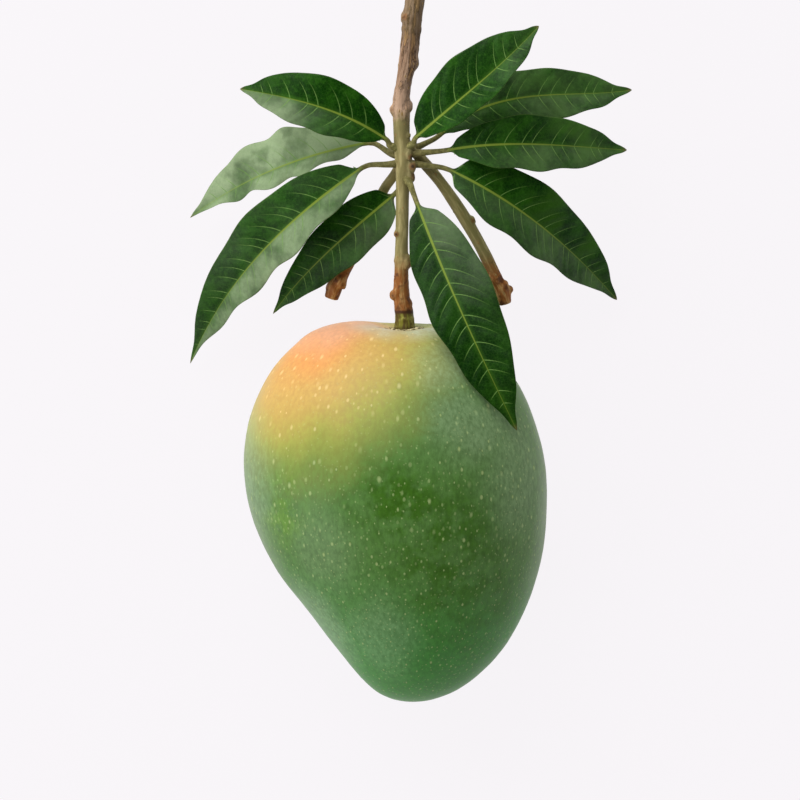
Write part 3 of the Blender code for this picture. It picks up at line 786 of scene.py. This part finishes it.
def bark_finish(look):
    """Bark of a fruiting twig: smooth olive rind on young wood, dry fissured cork on the old."""
    material, tree, shader = new_finish("mango_twig_bark", Roughness=0.65, Specular_IOR_Level=0.25)
    place = millimetre_place(tree)
    along = parts_of(tree, place)[1]
    along_grain = kept(tree, "grain", "Vector")
    streaks = grain(tree, along_grain, 0.8, 4.0, 0.6)  # fibres about 1 mm wide that run lengthwise
    split = grain(tree, along_grain, 0.62, 5.0, 0.62)
    patches = grain(tree, place, 0.35, 3.0)
    uneven = compute(tree, "MULTIPLY_ADD", patches, 6.0, compute(tree, "ADD", along, -3.0))
    young = paint(
        tree, look.young_bark, (streaks, 0.45, 0.7, 0.8, "a99d6b"), (streaks, 0.4, 0.28, 0.5, "645f35"),
        (patches, 0.55, 0.75, 0.5, "8f7a4d"),
    )
    # Old bark is a thin grey-brown skin, split lengthwise over tan cork with dark rims
    old = paint(
        tree, look.old_bark, (streaks, 0.42, 0.64, 0.75, "ab8f76"), (split, 0.52, 0.555, 1.0, "4a3320"),
        # Painted highlight: the pale layer at the end of the next line lightens the old bark nearest the young wood
        (split, 0.56, 0.6, 1.0, "9a7750"), (uneven, 139.0, 131.0, 0.5, "c8a68b"),
        (uneven, 146.0, 154.0, 0.5, "5f5230"),
    )
    foot = paint(tree, look.foot, (streaks, 0.44, 0.66, 1.0, "ab8450"), (patches, 0.48, 0.32, 0.8, "4a2810"))
    collar = paint(tree, "55461c", (streaks, 0.42, 0.58, 1.0, look.collar), (patches, 0.5, 0.7, 1.0, "a5a052"))
    wood = paint(tree, look.cut, (grain(tree, place, 1.4, 2.0), 0.35, 0.65, 1.0, "b59a66"))
    scar = kept(tree, "scar")
    shade = paint(
        tree, foot, (uneven, *FOOT_TO_YOUNG, 1.0, young), (uneven, *YOUNG_TO_OLD, 1.0, old),
        # Painted shade: the third layer on the next line darkens the foot of the stalk down in the pit
        (along, 61.3, 60.4, 1.0, "472a14"), (along, 60.2, 59.2, 1.0, collar), (along, 56.2, 54.4, 0.8, "4a3b1c"),
        (scar, 0.15, 0.6, 0.75, "7f552c"), (scar, 0.6, 0.85, 0.85, "2c1a0c"),
        (kept(tree, "cut"), 0.45, 0.75, 1.0, wood),
    )
    # Painted shade: the twig is darker on its +X side and a little lighter on its -X side
    side_factor = ease(tree, parts_of(tree, along_grain)[0], -1.5, 3.0, 1.1, 0.74)
    tree.links.new(scale_by(tree, shade, side_factor), shader.inputs["Base Color"])
    old_split = compute(tree, "MULTIPLY", split, ease(tree, along, *YOUNG_TO_OLD))
    add_relief(tree, shader, compute(tree, "SUBTRACT", streaks, ease(tree, old_split, 0.5, 0.54)), 0.12)
    return material


def two_colour_finish(name, roughness, scale, detail, span, codes):
    """A dry matt finish whose noise runs from one sRGB hex code to another over a span."""
    material, tree, shader = new_finish(name, Roughness=roughness, Specular_IOR_Level=0.15)
    patches = grain(tree, millimetre_place(tree), scale, detail)
    share = ease(tree, patches, *span) if span else patches
    tree.links.new(blend_colours(tree, share, *codes), shader.inputs["Base Color"])
    return material


def bark_lenticel_finish():
    """Cork warts of the bark: dry and pale brown."""
    return two_colour_finish("bark_lenticel_cork", 0.8, 1.0, 2.0, None, ("a98c5c", "7c6238"))


def calyx_finish():
    """Dried remains of the flower round the stalk: brittle, brown and matt."""
    return two_colour_finish("dried_calyx", 0.85, 0.9, 3.0, (0.44, 0.58), ("4a3a1a", "d3c79a"))


class MANGO_OT_twig(bpy.types.Operator):
    """Make the twig: the shaft, its two side stalks, knobs and buds joined into one skin of bark"""

    bl_idname = "mango.twig"
    bl_label = "Twig"

    def execute(self, context):
        look = context.scene.mango_twig
        bm = bmesh.new()
        runs = [stem_stations(points, 14) for points in STEMS]
        add_tube(bm, runs[0], 40, RING_SCARS)
        for stations in runs[1:]:
            add_tube(bm, stations, 32)
        for place in KNOBS + SWELLINGS:
            add_knob(bm, place)
        for place, way, long, radius in BUDS:
            add_bud(bm, place, way, long, radius)
        bmesh.ops.recalc_face_normals(bm, faces=bm.faces[:])
        mesh = self.join(to_mesh(bm, "bark_guide"), look.grain)
        self.raise_bark(mesh, runs, look.ridges / MM)
        bark = add_piece("bark", mesh, [bark_finish(look)])
        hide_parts("twig")
        warts = {
            "Spacing": 1.2 * MM, "Density": WART_DENSITY, "Smallest": 0.14 * MM, "Largest": 0.34 * MM,
            "Stretch": 2.0, "Rise": 0.5, "Seed": 3, "Material": bark_lenticel_finish(),
        }
        dots = grow(lenticel_tree("bark_warts"), mesh.copy(), warts)
        add_piece("bark_lenticels", dots, [warts["Material"]])
        self.add_calyx()
        return {"FINISHED"}

    def join(self, rough, cube):
        """Join overlapping closed forms into one skin of small even faces."""
        guide = put_in_scene("bark_guide", rough)
        remesh = guide.modifiers.new("join", "REMESH")
        remesh.mode = "VOXEL"
        remesh.voxel_size = cube
        mesh = result_of(guide, "bark")
        bm = bmesh.new()
        bm.from_mesh(mesh)
        for _ in range(6):
            bmesh.ops.smooth_vert(
                bm, verts=bm.verts[:], factor=0.5, use_axis_x=True, use_axis_y=True, use_axis_z=True
            )
        bm.to_mesh(mesh)
        bm.free()
        return mesh

    def raise_bark(self, mesh, runs, ridge_height):
        """Raise the bark's relief along the grain, and store grain, cut ends and the scatter's needs."""
        stations = [station for run in runs for station in run]
        centres = np.array([station[0] for station in stations])
        lengths = np.concatenate([
            np.cumsum([0.0] + [(b[0] - a[0]).length for a, b in zip(run, run[1:])]) + 400 * index
            for index, run in enumerate(runs)
        ])
        spots = np.empty(len(mesh.vertices) * 3)
        mesh.vertices.foreach_get("co", spots)
        spots = spots.reshape(-1, 3) / MM
        nearest = np.concatenate([
            ((part[:, None, :] - centres[None]) ** 2).sum(2).argmin(1) for part in np.array_split(spots, 40)
        ])
        ends = [(run[-1][0], run[-1][2]) for run in runs]
        grains, cuts, ways, shares, scars = [], [], [], [], []
        moved = spots.copy()
        for index, vert in enumerate(mesh.vertices):
            centre, _radius, direction, side, up = stations[nearest[index]]
            spot = Vector(spots[index])
            offset = spot - centre
            long = lengths[nearest[index]] + offset.dot(direction)
            across, above = offset.dot(side), offset.dot(up)
            place = Vector((across, above, long * 0.14))
            old = smooth(spot.y, 117, 129) if nearest[index] < len(runs[0]) else 0.0
            foot = 1 - smooth(spot.y, 66, 76)
            cut = float(any((spot - end).dot(way) > -0.22 and (spot - end).length < 4.5 for end, way in ends))
            ridge = 1 - abs(2 * noise.noise(place * 0.9))
            height = 0.05 * noise.noise(place * 1.5) + old * ridge_height * (ridge - 0.75)
            height += 0.16 * (foot + 0.6 * old) * noise.noise(spot * 0.7)
            scars.append(max(0.0, *(1 - (spot - Vector(scar[:3])).length / scar[3] for scar in SCARS)))
            moved[index] = spot + vert.normal * height * (1 - cut)
            grains.append(place)
            cuts.append(cut)
            ways.append(direction)
            shares.append(0.0 if cut or spot.y < WARTS_FROM else 0.25 + 0.4 * old)
        mesh.vertices.foreach_set("co", (moved * MM).ravel())
        mesh.update()
        store(mesh, grain=grains, cut=cuts, scar=scars, way=ways, share=shares, size=[1.0] * len(shares))

    def add_calyx(self):
        """Lay the dried remains of the flower in the pit: a ragged ring round the stalk, and loose flakes."""
        skin = bpy.data.objects["skin"]
        bm = bmesh.new()
        steps, sides = 120, 8
        rings = []
        for step in range(steps):
            turn = 2 * math.pi * step / steps
            ragged = noise.fractal(Vector((math.cos(turn) * 2.5, math.sin(turn) * 2.5, 0.5)), 1.0, 2.0, 4)
            foot, out, up = self.pit_frame(skin, turn, 4.0 + 0.6 * ragged)
            thick = 0.42 + 0.3 * ragged
            ring = []
            for index in range(sides):
                angle = 2 * math.pi * index / sides
                lift = up * (0.5 + math.sin(angle) * thick) + out * math.cos(angle) * thick * 1.7
                ring.append(bm.verts.new((foot + lift) * MM))
            rings.append(ring)
        for near, far in zip(rings, rings[1:] + rings[:1]):
            join_rings(bm, near, far)
        for step in range(22):
            turn = 2.4 * step + 0.4 * math.sin(5.1 * step)
            foot, out, up = self.pit_frame(skin, turn, 4.6 + 1.8 * math.sin(3.7 * step) ** 2)
            long, wide = 0.6 + 0.5 * abs(math.sin(1.9 * step)), 0.36 + 0.14 * math.cos(2.3 * step)
            way = Matrix.Rotation(1.3 * math.sin(4.3 * step), 3, up) @ out
            flake = bmesh.ops.create_uvsphere(bm, u_segments=8, v_segments=5, radius=1.0)
            for vert in flake["verts"]:
                x, y, z = vert.co
                curl = 0.1 + 0.3 * x * x
                vert.co = (foot + way * x * long + up.cross(way) * y * wide + up * (z * 0.09 + curl)) * MM
        bmesh.ops.recalc_face_normals(bm, faces=bm.faces[:])
        add_piece("dried_calyx", to_mesh(bm, "dried_calyx"), [calyx_finish()])

    def pit_frame(self, skin, turn, radius):
        """The skin of the pit at this turn and radius from the stalk, the way outwards and the way off the skin."""
        out = Vector((math.cos(turn), 0, math.sin(turn)))
        start = (Vector((PIT_FLOOR[0], 80.0, PIT_FLOOR[2])) + out * radius) * MM
        hit, foot, up, _index = skin.ray_cast(start, Vector((0, -1, 0)))
        if not hit:
            raise RuntimeError("the calyx found no skin under it")
        return foot / MM, (out - up * out.dot(up)).normalized(), up


def bezier(points, place):
    """A point of a curve with four control points, from 0 at its start to 1 at its end."""
    a, b, c, d = points
    rest = 1 - place
    return a * rest**3 + 3 * b * rest**2 * place + 3 * c * rest * place**2 + d * place**3


def bezier_direction(points, place):
    """The way that such a curve runs there."""
    a, b, c, d = points
    rest = 1 - place
    return (3 * (b - a) * rest**2 + 6 * (c - b) * rest * place + 3 * (d - c) * place**2).normalized()


def leaf_spines(plan):
    """The curves of the leaf stalk and of the midrib, which run on into each other."""
    root, base, tip = (Vector(plan[key]) for key in ("root", "base", "tip"))
    reach = tip - base
    up = Vector((0, 0, 1))
    side = reach.cross(up).normalized()
    near, far = plan["arch"]
    near_bow, far_bow = plan["bow"]
    blade = (
        base,
        base + reach / 3 + side * near_bow + up * near,
        base + reach * 2 / 3 + side * far_bow + up * far,
        tip,
    )
    lead = bezier_direction(blade, 0.0)
    petiole = (root, root + (base - root) / 3, base - lead * (base - root).length / 3, base)
    return petiole, blade


def leaf_outline(shape, place):
    """Half the blade's width at a place from base (0) to the drawn-out tip (1), as a share of the widest."""
    at_base, at_tip = shape
    widest = at_base / (at_base + at_tip)
    peak = widest**at_base * (1 - widest) ** at_tip
    drawn = 1 - 0.3 * math.exp(-(((place - 0.93) / 0.06) ** 2))
    return drawn * place**at_base * (1 - place) ** at_tip / peak


def half_width(plan, place, side):
    """Width of one half of the blade, side -1 for the left, with its wavy margin."""
    which = 0 if side < 0 else 1
    share = leaf_outline(plan["shape"], place)
    turn = 2 * math.pi * (plan["waves"] + 1.5) * place + 2.1 * side
    return plan["width"][which] * share + plan["ripple"][which] * share * math.sin(turn)


def blade_height(plan, place, across, quilt):
    """Height of the blade's middle surface over its spine, at a share across (-1 to 1)."""
    share = leaf_outline(plan["shape"], place)
    x = across * half_width(plan, place, across)
    turn = 2 * math.pi * plan["waves"] * place + (1.4 if across < 0 else 0.0)
    wave = plan["wave"] * abs(across) ** 1.5 * share * math.sin(turn)
    return abs(x) * math.tan(math.radians(plan["fold"])) - CURL * x * x + wave + quilt


class LeafBuilder:
    """Everything that places a point on one leaf."""

    def __init__(self, name, plan, look):
        self.name, self.plan, self.look = name, plan, look
        self.petiole, self.blade = leaf_spines(plan)
        self.places = [step / 400 for step in range(401)]
        middles = [bezier(self.blade, place) for place in self.places]
        steps = [0.0] + [(b - a).length for a, b in zip(middles, middles[1:])]
        self.runs = np.cumsum(steps)
        self.length = float(self.runs[-1])
        gap = look.vein_gap / MM
        count = int((self.length - 4.0) / gap)
        self.starts = [2.5 + gap * (index + 0.22 * math.sin(2.4 * index + len(name))) for index in range(count)]

    def run_at(self, place):
        """Millimetres along the midrib at a place from 0 to 1."""
        return float(np.interp(place, self.places, self.runs))

    def place_at(self, run):
        """The place from 0 to 1 at this many millimetres along the midrib."""
        return float(np.interp(run, self.runs, self.places))

    def frame(self, place):
        """Middle of the blade, the way to its right and the way out of its upper face."""
        direction = bezier_direction(self.blade, place)
        near, far = self.plan["roll"]
        turn = Matrix.Rotation(math.radians(near + (far - near) * place), 3, direction)
        right = turn @ direction.cross(Vector((0, 0, 1))).normalized()
        return bezier(self.blade, place), right, right.cross(direction)

    def phase(self, run, outward):
        """Which lateral vein passes here, counted from the base, whole numbers being veins."""
        start = run - VEIN_LEAN * outward - VEIN_SWEEP * outward * outward
        places = [self.starts[0] - 2.0, *self.starts, self.starts[-1] + 2.0]
        return float(np.interp(start, places, [-0.5, *range(len(self.starts)), len(self.starts) - 0.5]))

    def quilt(self, place, across):
        """How far the blade bulges up between its lateral veins."""
        outward = abs(across) * half_width(self.plan, place, across)
        swell = 0.5 - 0.5 * math.cos(2 * math.pi * self.phase(self.run_at(place), outward))
        fade = smooth(outward, 0.6, 2.6) * (1 - 0.7 * smooth(abs(across), 0.75, 1.0)) * smooth(place, 0.03, 0.1)
        return self.look.quilt / MM * swell * fade

    def ring(self, place):
        """Points round the blade, upper face left to right, then lower face back, and what the finish needs."""
        half = self.look.thickness / MM / 2
        rib = 1 - place
        upper, lower, notes = [], [], []
        run = self.run_at(place)
        for across in ACROSS:
            x, z = self.middle(place, across)
            thick = half * (1 - 0.6 * abs(across) ** 4)
            groove = math.exp(-((x / (0.2 + 0.32 * rib)) ** 2))
            upper.append((x, z + thick + 0.2 * rib * groove))
            lower.append((x, z - thick - (0.1 + 0.85 * rib) * groove))
            # How much pale dusting, which is also painted sheen, this half has here
            dust_and_sheen = float(np.interp(place, (0.1, 0.5, 0.9), self.plan["dust_and_sheen"][0 if across < 0 else 1]))
            notes.append((x, run, dust_and_sheen, self.phase(run, abs(x)), across, place))
        return upper + lower[::-1], notes + notes[::-1]

    def stalk_ring(self, radius):
        """A round section with as many points as a section of the blade."""
        steps = len(ACROSS)
        upper = [math.pi - math.pi * (index + 0.5) / steps for index in range(steps)]
        angles = upper + [-angle for angle in reversed(upper)]
        return [(radius * math.cos(angle), radius * math.sin(angle)) for angle in angles]

    def stalk_line(self):
        """Points of the leaf stalk from inside the bark to the base of the blade."""
        root, lead = self.petiole[0], (self.petiole[1] - self.petiole[0]).normalized()
        axis = [station[0] for station in stem_stations(MAIN_SHAFT, 6)]
        inside = min(axis, key=lambda point: (point - (root - lead * 2.5)).length)
        points = [inside.lerp(root, 0.25), inside.lerp(root, 0.65)]
        points += [bezier(self.petiole, step / 4) for step in range(4)] + [self.petiole[3]]
        return points

    def middle(self, place, across):
        """How far the middle of the blade's thickness lies to the right of its spine and above it."""
        x = across * half_width(self.plan, place, across)
        return x, blade_height(self.plan, place, across, self.quilt(place, across))

    def surface(self, place, across):
        """A point in the middle of the blade's thickness, in millimetres."""
        centre, right, out = self.frame(place)
        x, z = self.middle(place, across)
        return centre + right * x + out * z

    def make_blade(self):
        """One closed loft: the round leaf stalk, which flattens into the folded, waved and quilted blade."""
        sections = []
        line = self.stalk_line()
        last = len(line) - 1
        for step in range(PETIOLE_STATIONS):
            where = step / PETIOLE_STATIONS
            place = where * last
            centre = Vector(through(line, place))
            ahead = Vector(through(line, min(place + 0.05, last)))
            direction = (ahead - centre).normalized()
            right = direction.cross(Vector((0, 0, 1))).normalized()
            right = Matrix.Rotation(math.radians(self.plan["roll"][0]), 3, direction) @ right
            radius = PETIOLE_RADIUS + 0.75 * (1 - where) ** 2.2
            run = -(1 - where) * (line[-1] - line[0]).length
            notes = [(0.0, run, 0.0, 0.0, 0.0, 0.0)] * (2 * len(ACROSS))
            sections.append((centre, right, right.cross(direction), self.stalk_ring(radius), notes))
        round_ring = self.stalk_ring(PETIOLE_RADIUS)
        for step in range(BLADE_STATIONS):
            place = 0.992 * (step / (BLADE_STATIONS - 1)) ** 1.12
            blend = smooth(place, 0.0, 0.06)
            ring, notes = self.ring(max(place, 1e-4))
            ring = [
                (a * (1 - blend) + c * blend, b * (1 - blend) + d * blend)
                for (a, b), (c, d) in zip(round_ring, ring)
            ]
            sections.append((*self.frame(place), ring, notes))
        vertices, notes = [], []
        for centre, right, out, ring, ring_notes in sections:
            vertices += [(centre + right * x + out * z) * MM for x, z in ring]
            notes += ring_notes
        vertices.append(bezier(self.blade, 1.0) * MM)
        notes.append((0.0, self.length, self.plan["dust_and_sheen"][0][2], 0.0, 0.0, 1.0))
        count = len(round_ring)
        faces = [tuple(reversed(range(count)))]
        for start in range(0, (len(sections) - 1) * count, count):
            for index in range(count):
                following = (index + 1) % count
                here, beside = start + index, start + following
                faces.append((here, beside, beside + count, here + count))
        start, tip = (len(sections) - 1) * count, len(vertices) - 1
        faces += [(start + index, start + (index + 1) % count, tip) for index in range(count)]
        mesh = bpy.data.meshes.new(self.name)
        mesh.from_pydata(vertices, [], faces)
        bm = bmesh.new()
        bm.from_mesh(mesh)
        bmesh.ops.recalc_face_normals(bm, faces=bm.faces[:])
        bm.to_mesh(mesh)
        bm.free()
        under = [float(index % count >= count // 2) for index in range(tip)] + [0.0]
        store(
            mesh, blade_place=[(note[0], note[1], side) for note, side in zip(notes, under)],
            blade_look=[(note[2], note[3], abs(note[4])) for note in notes],
            blade_share=[note[5] for note in notes], blade_depth=[self.plan.get("depth", 0.0)] * len(notes),
        )
        return mesh

    def make_vein_lines(self):
        """Lines along the lateral veins, in the middle of the blade, with the thickness of the rib on each."""
        vertices, edges, thickness = [], [], []
        half = self.look.thickness / MM / 2
        for side in (-1, 1):
            for start in self.starts:
                line = []
                reach = 0.84 + 0.1 * math.sin(7.3 * start + side)
                for step in range(60):
                    outward = 0.3 + 0.25 * step
                    run = start + VEIN_LEAN * outward + VEIN_SWEEP * outward * outward
                    place = self.place_at(run)
                    width = half_width(self.plan, min(place, 0.99), side)
                    if place > 0.96 or outward > width * reach:
                        break
                    if step % 3 == 0:
                        line.append((self.surface(place, side * outward / width), outward / width))
                if len(line) < 3:
                    continue
                for index, (point, share) in enumerate(line):
                    if index:
                        edges.append((len(vertices) - 1, len(vertices)))
                    vertices.append(point * MM)
                    thickness.append((half * (1 - 0.6 * share**4) + 0.05 - 0.075 * share) * MM)
        mesh = bpy.data.meshes.new(self.name + "_veins")
        mesh.from_pydata(vertices, edges, [])
        store(mesh, thickness=thickness)
        return mesh


def leaf_finish(look):
    """A mango leaf: leathery and half glossy, dark green with a yellow midrib, paled in places by a dusting that is
    also painted sheen.
    """
    material, tree, shader = new_finish("leathery_leaf", Roughness=0.36, Specular_IOR_Level=0.08, IOR=1.45)
    place = millimetre_place(tree)
    across, run, under = parts_of(tree, kept(tree, "blade_place", "Vector"))
    dust_and_sheen_share, phase, margin = parts_of(tree, kept(tree, "blade_look", "Vector"))
    share = kept(tree, "blade_share")
    outward = compute(tree, "ABSOLUTE", across)
    mottle = grain(tree, place, 0.9, 4.0, 0.62)
    shade = paint(
        tree, look.dark, (grain(tree, place, 0.16, 3.0), 0.4, 0.66, 1.0, look.light),
        (mottle, 0.5, 0.72, 0.4, "37691a"), (mottle, 0.48, 0.3, 0.5, "061f02"),
    )
    # Young yellower patches, more of them on the leaves further towards +X, on the right
    side_factor = ease(tree, parts_of(tree, place)[0], 20.0, 55.0, 0.0, 0.6)
    young = compute(tree, "MULTIPLY", ease(tree, grain(tree, place, 0.07, 3.0), 0.45, 0.65), side_factor)
    shade = blend_colours(tree, young, shade, "34600b")
    shade = blend_colours(tree, kept(tree, "blade_depth"), shade, "041402")
    # Painted sheen: a pale dusting on the halves of the blade that face the light, as strong as each leaf's table
    # says
    dust_and_sheen_film = compute(tree, "MULTIPLY", dust_and_sheen_share, ease(tree, grain(tree, place, 0.07, 3.0, 0.55), 0.34, 0.6, 0.35, 1.0))
    dust_and_sheen_film = compute(tree, "MULTIPLY", dust_and_sheen_film, ease(tree, mottle, 0.2, 0.7, 0.8, 1.0))
    shade = blend_colours(tree, dust_and_sheen_film, shade, look.dust_and_sheen)
    # Lateral veins: a thin pale line that fades before the margin, and a faint net of cells of 1 mm between them
    line = ease(tree, compute(tree, "PINGPONG", phase, 0.5), 0.01, 0.045, 0.34, 0.0)
    line = compute(tree, "MULTIPLY", line, ease(tree, margin, 0.85, 0.45))
    shade = blend_colours(tree, line, shade, "79a04e")
    net = add_node(tree, "ShaderNodeTexVoronoi", {"Vector": place, "Scale": 1.1}, feature="DISTANCE_TO_EDGE")
    net_line = ease(tree, net.outputs["Distance"], 0.0, 0.12, 0.12, 0.0)
    shade = blend_colours(tree, net_line, shade, "4f7a34")
    shade = paint(tree, shade, (outward, 1.6, 0.2, 0.25, "47701f"))
    # Midrib: broad and bright at the base, thin and faint at the tip
    half = ease(tree, share, 0.0, 0.9, 0.4, 0.1)
    rib = ease(tree, compute(tree, "SUBTRACT", outward, half), 0.1, -0.12)
    rib = compute(tree, "MULTIPLY", rib, ease(tree, share, 0.1, 1.0, 0.85, 0.45))
    shade = blend_colours(tree, rib, shade, look.midrib)
    shade = paint(tree, shade, (margin, 0.97, 1.0, 0.5, "566b30"), (share, 0.96, 1.0, 0.7, "6c5f3e"))
    shade = blend_colours(tree, compute(tree, "MULTIPLY", under, 0.65), shade, "66824a")
    stalk = paint(tree, look.petiole, (mottle, 0.35, 0.7, 1.0, "8a8452"))
    shade = paint(tree, shade, (run, 2.5, -1.0, 1.0, stalk), (run, -5.0, -12.0, 0.5, "5a4c2c"))
    tree.links.new(shade, shader.inputs["Base Color"])
    tree.links.new(compute(tree, "MULTIPLY_ADD", dust_and_sheen_film, 0.25, 0.4), shader.inputs["Roughness"])
    add_relief(tree, shader, compute(tree, "SUBTRACT", compute(tree, "MULTIPLY", mottle, 0.6), net_line), 0.06)
    return material


def vein_finish():
    """Lateral veins: thin fibrous ribs, paler than the blade and less glossy."""
    material, tree, shader = new_finish("pale_leaf_vein", Roughness=0.5, Specular_IOR_Level=0.1)
    shade = blend_colours(tree, grain(tree, millimetre_place(tree), 0.4), "356a22", "85a35a")
    tree.links.new(shade, shader.inputs["Base Color"])
    return material


class MANGO_OT_leaves(bpy.types.Operator):
    """Make the nine leaves, each with its stalk, folded blade, midrib and lateral veins"""

    bl_idname = "mango.leaves"
    bl_label = "Leaves"

    def execute(self, context):
        look = context.scene.mango_leaves
        blade_material, vein_material = leaf_finish(look), vein_finish()
        ribs = vein_tree()
        for name, plan in LEAVES.items():
            builder = LeafBuilder(name + "_blade", plan, look)
            blade = builder.make_blade()
            veins = grow(ribs, builder.make_vein_lines(), {"Sides": 8, "Material": vein_material})
            bm = bmesh.new()
            bm.from_mesh(blade)
            first = len(bm.faces)
            bm.from_mesh(veins)
            bm.faces.ensure_lookup_table()
            for face in bm.faces[first:]:
                face.material_index = 1
            bm.to_mesh(blade)
            bm.free()
            leaf = add_piece(name + "_blade", blade, [blade_material, vein_material])
            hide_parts(name)
        return {"FINISHED"}


class MANGO_OT_stage(bpy.types.Operator):
    """Set the pale floor, the soft studio light and the camera"""

    bl_idname = "mango.stage"
    bl_label = "Stage"

    def execute(self, context):
        look = context.scene.mango_stage
        scene = context.scene
        scene.view_settings.view_transform = "Standard"
        self.add_floor(look)
        self.add_surroundings(scene, look)
        for name, place, size, power_key in LIGHTS:
            self.add_light(name, place, size, getattr(look, power_key))
        camera = put_in_scene("camera", bpy.data.cameras.new("camera"))
        camera.data.lens = CAMERA_LENS
        camera.data.sensor_width = CAMERA_SENSOR
        camera.location = Vector(CAMERA_PLACE) * MM
        camera.rotation_euler = (math.radians(CAMERA_TILT), 0.0, 0.0)
        scene.camera = camera
        return {"FINISHED"}

    def add_floor(self, look):
        """A wide level floor of pale paper, which glows a little so that shadows stay faint."""
        material, tree, shader = new_finish("pale_studio_paper", Roughness=0.9, Specular_IOR_Level=0.0)
        shader.inputs["Base Color"].default_value = (*look.floor, 1.0)
        glow = add_node(tree, "ShaderNodeEmission", {"Color": (*look.floor, 1.0), "Strength": 1.01})
        mixed = add_node(tree, "ShaderNodeMixShader", {0: FLOOR_GLOW, 1: shader, 2: glow})
        tree.links.new(mixed.outputs[0], tree.nodes["Material Output"].inputs["Surface"])
        bm = bmesh.new()
        bmesh.ops.create_circle(bm, cap_ends=True, segments=96, radius=6.0)
        floor = put_in_scene("floor", to_mesh(bm, "floor"))
        floor.data.materials.append(material)

    def add_surroundings(self, scene, look):
        """Bright surroundings at the height of the floor, dimmer overhead."""
        world = bpy.data.worlds.new("studio")
        world.use_nodes = True
        tree = world.node_tree
        way = add_node(tree, "ShaderNodeTexCoord").outputs["Generated"]
        height = parts_of(tree, way)[2]
        shade = paint(tree, look.floor, (height, 0.05, 0.5, 1.0, "a8a8aa"), (height, 0.45, 0.9, 1.0, "6a6b6e"))
        tree.links.new(shade, tree.nodes["Background"].inputs["Color"])
        scene.world = world

    def add_light(self, name, place, size, power):
        """A large soft light that faces the fruit and stays out of the picture."""
        data = bpy.data.lights.new(name, "AREA")
        data.shape = "DISK"
        data.size = size * MM
        data.energy = power
        light = put_in_scene(name, data)
        light.location = Vector(place) * MM
        towards = Vector(LIGHTS_FACE) * MM - light.location
        light.rotation_euler = towards.to_track_quat("-Z", "Y").to_euler()
        light.visible_camera = False


STEPS = (
    ("mango_skin", MangoSkinSettings, MANGO_OT_skin), ("mango_lenticels", LenticelSettings, MANGO_OT_lenticels),
    ("mango_twig", TwigSettings, MANGO_OT_twig), ("mango_leaves", LeafSettings, MANGO_OT_leaves),
    ("mango_stage", StageSettings, MANGO_OT_stage),
)


class MANGO_PT_sidebar(bpy.types.Panel):
    bl_idname = "MANGO_PT_sidebar"
    bl_label = "Mango on a leafy twig"
    bl_space_type = "VIEW_3D"
    bl_region_type = "UI"
    bl_category = "Mango"

    def draw(self, context):
        for key, settings, operator in STEPS:
            box = self.layout.box()
            for name in settings.__annotations__:
                box.prop(getattr(context.scene, key), name)
            box.operator(operator.bl_idname)


def register():
    for key, settings, operator in STEPS:
        bpy.utils.register_class(settings)
        setattr(bpy.types.Scene, key, bpy.props.PointerProperty(type=settings))
        bpy.utils.register_class(operator)
    bpy.utils.register_class(MANGO_PT_sidebar)


def unregister():
    bpy.utils.unregister_class(MANGO_PT_sidebar)
    for key, settings, operator in reversed(STEPS):
        bpy.utils.unregister_class(operator)
        delattr(bpy.types.Scene, key)
        bpy.utils.unregister_class(settings)


def main():
    register()
    bpy.ops.mango.skin()
    bpy.ops.mango.lenticels()
    bpy.ops.mango.twig()
    bpy.ops.mango.leaves()
    bpy.ops.mango.stage()


if __name__ == "__main__":
    main()
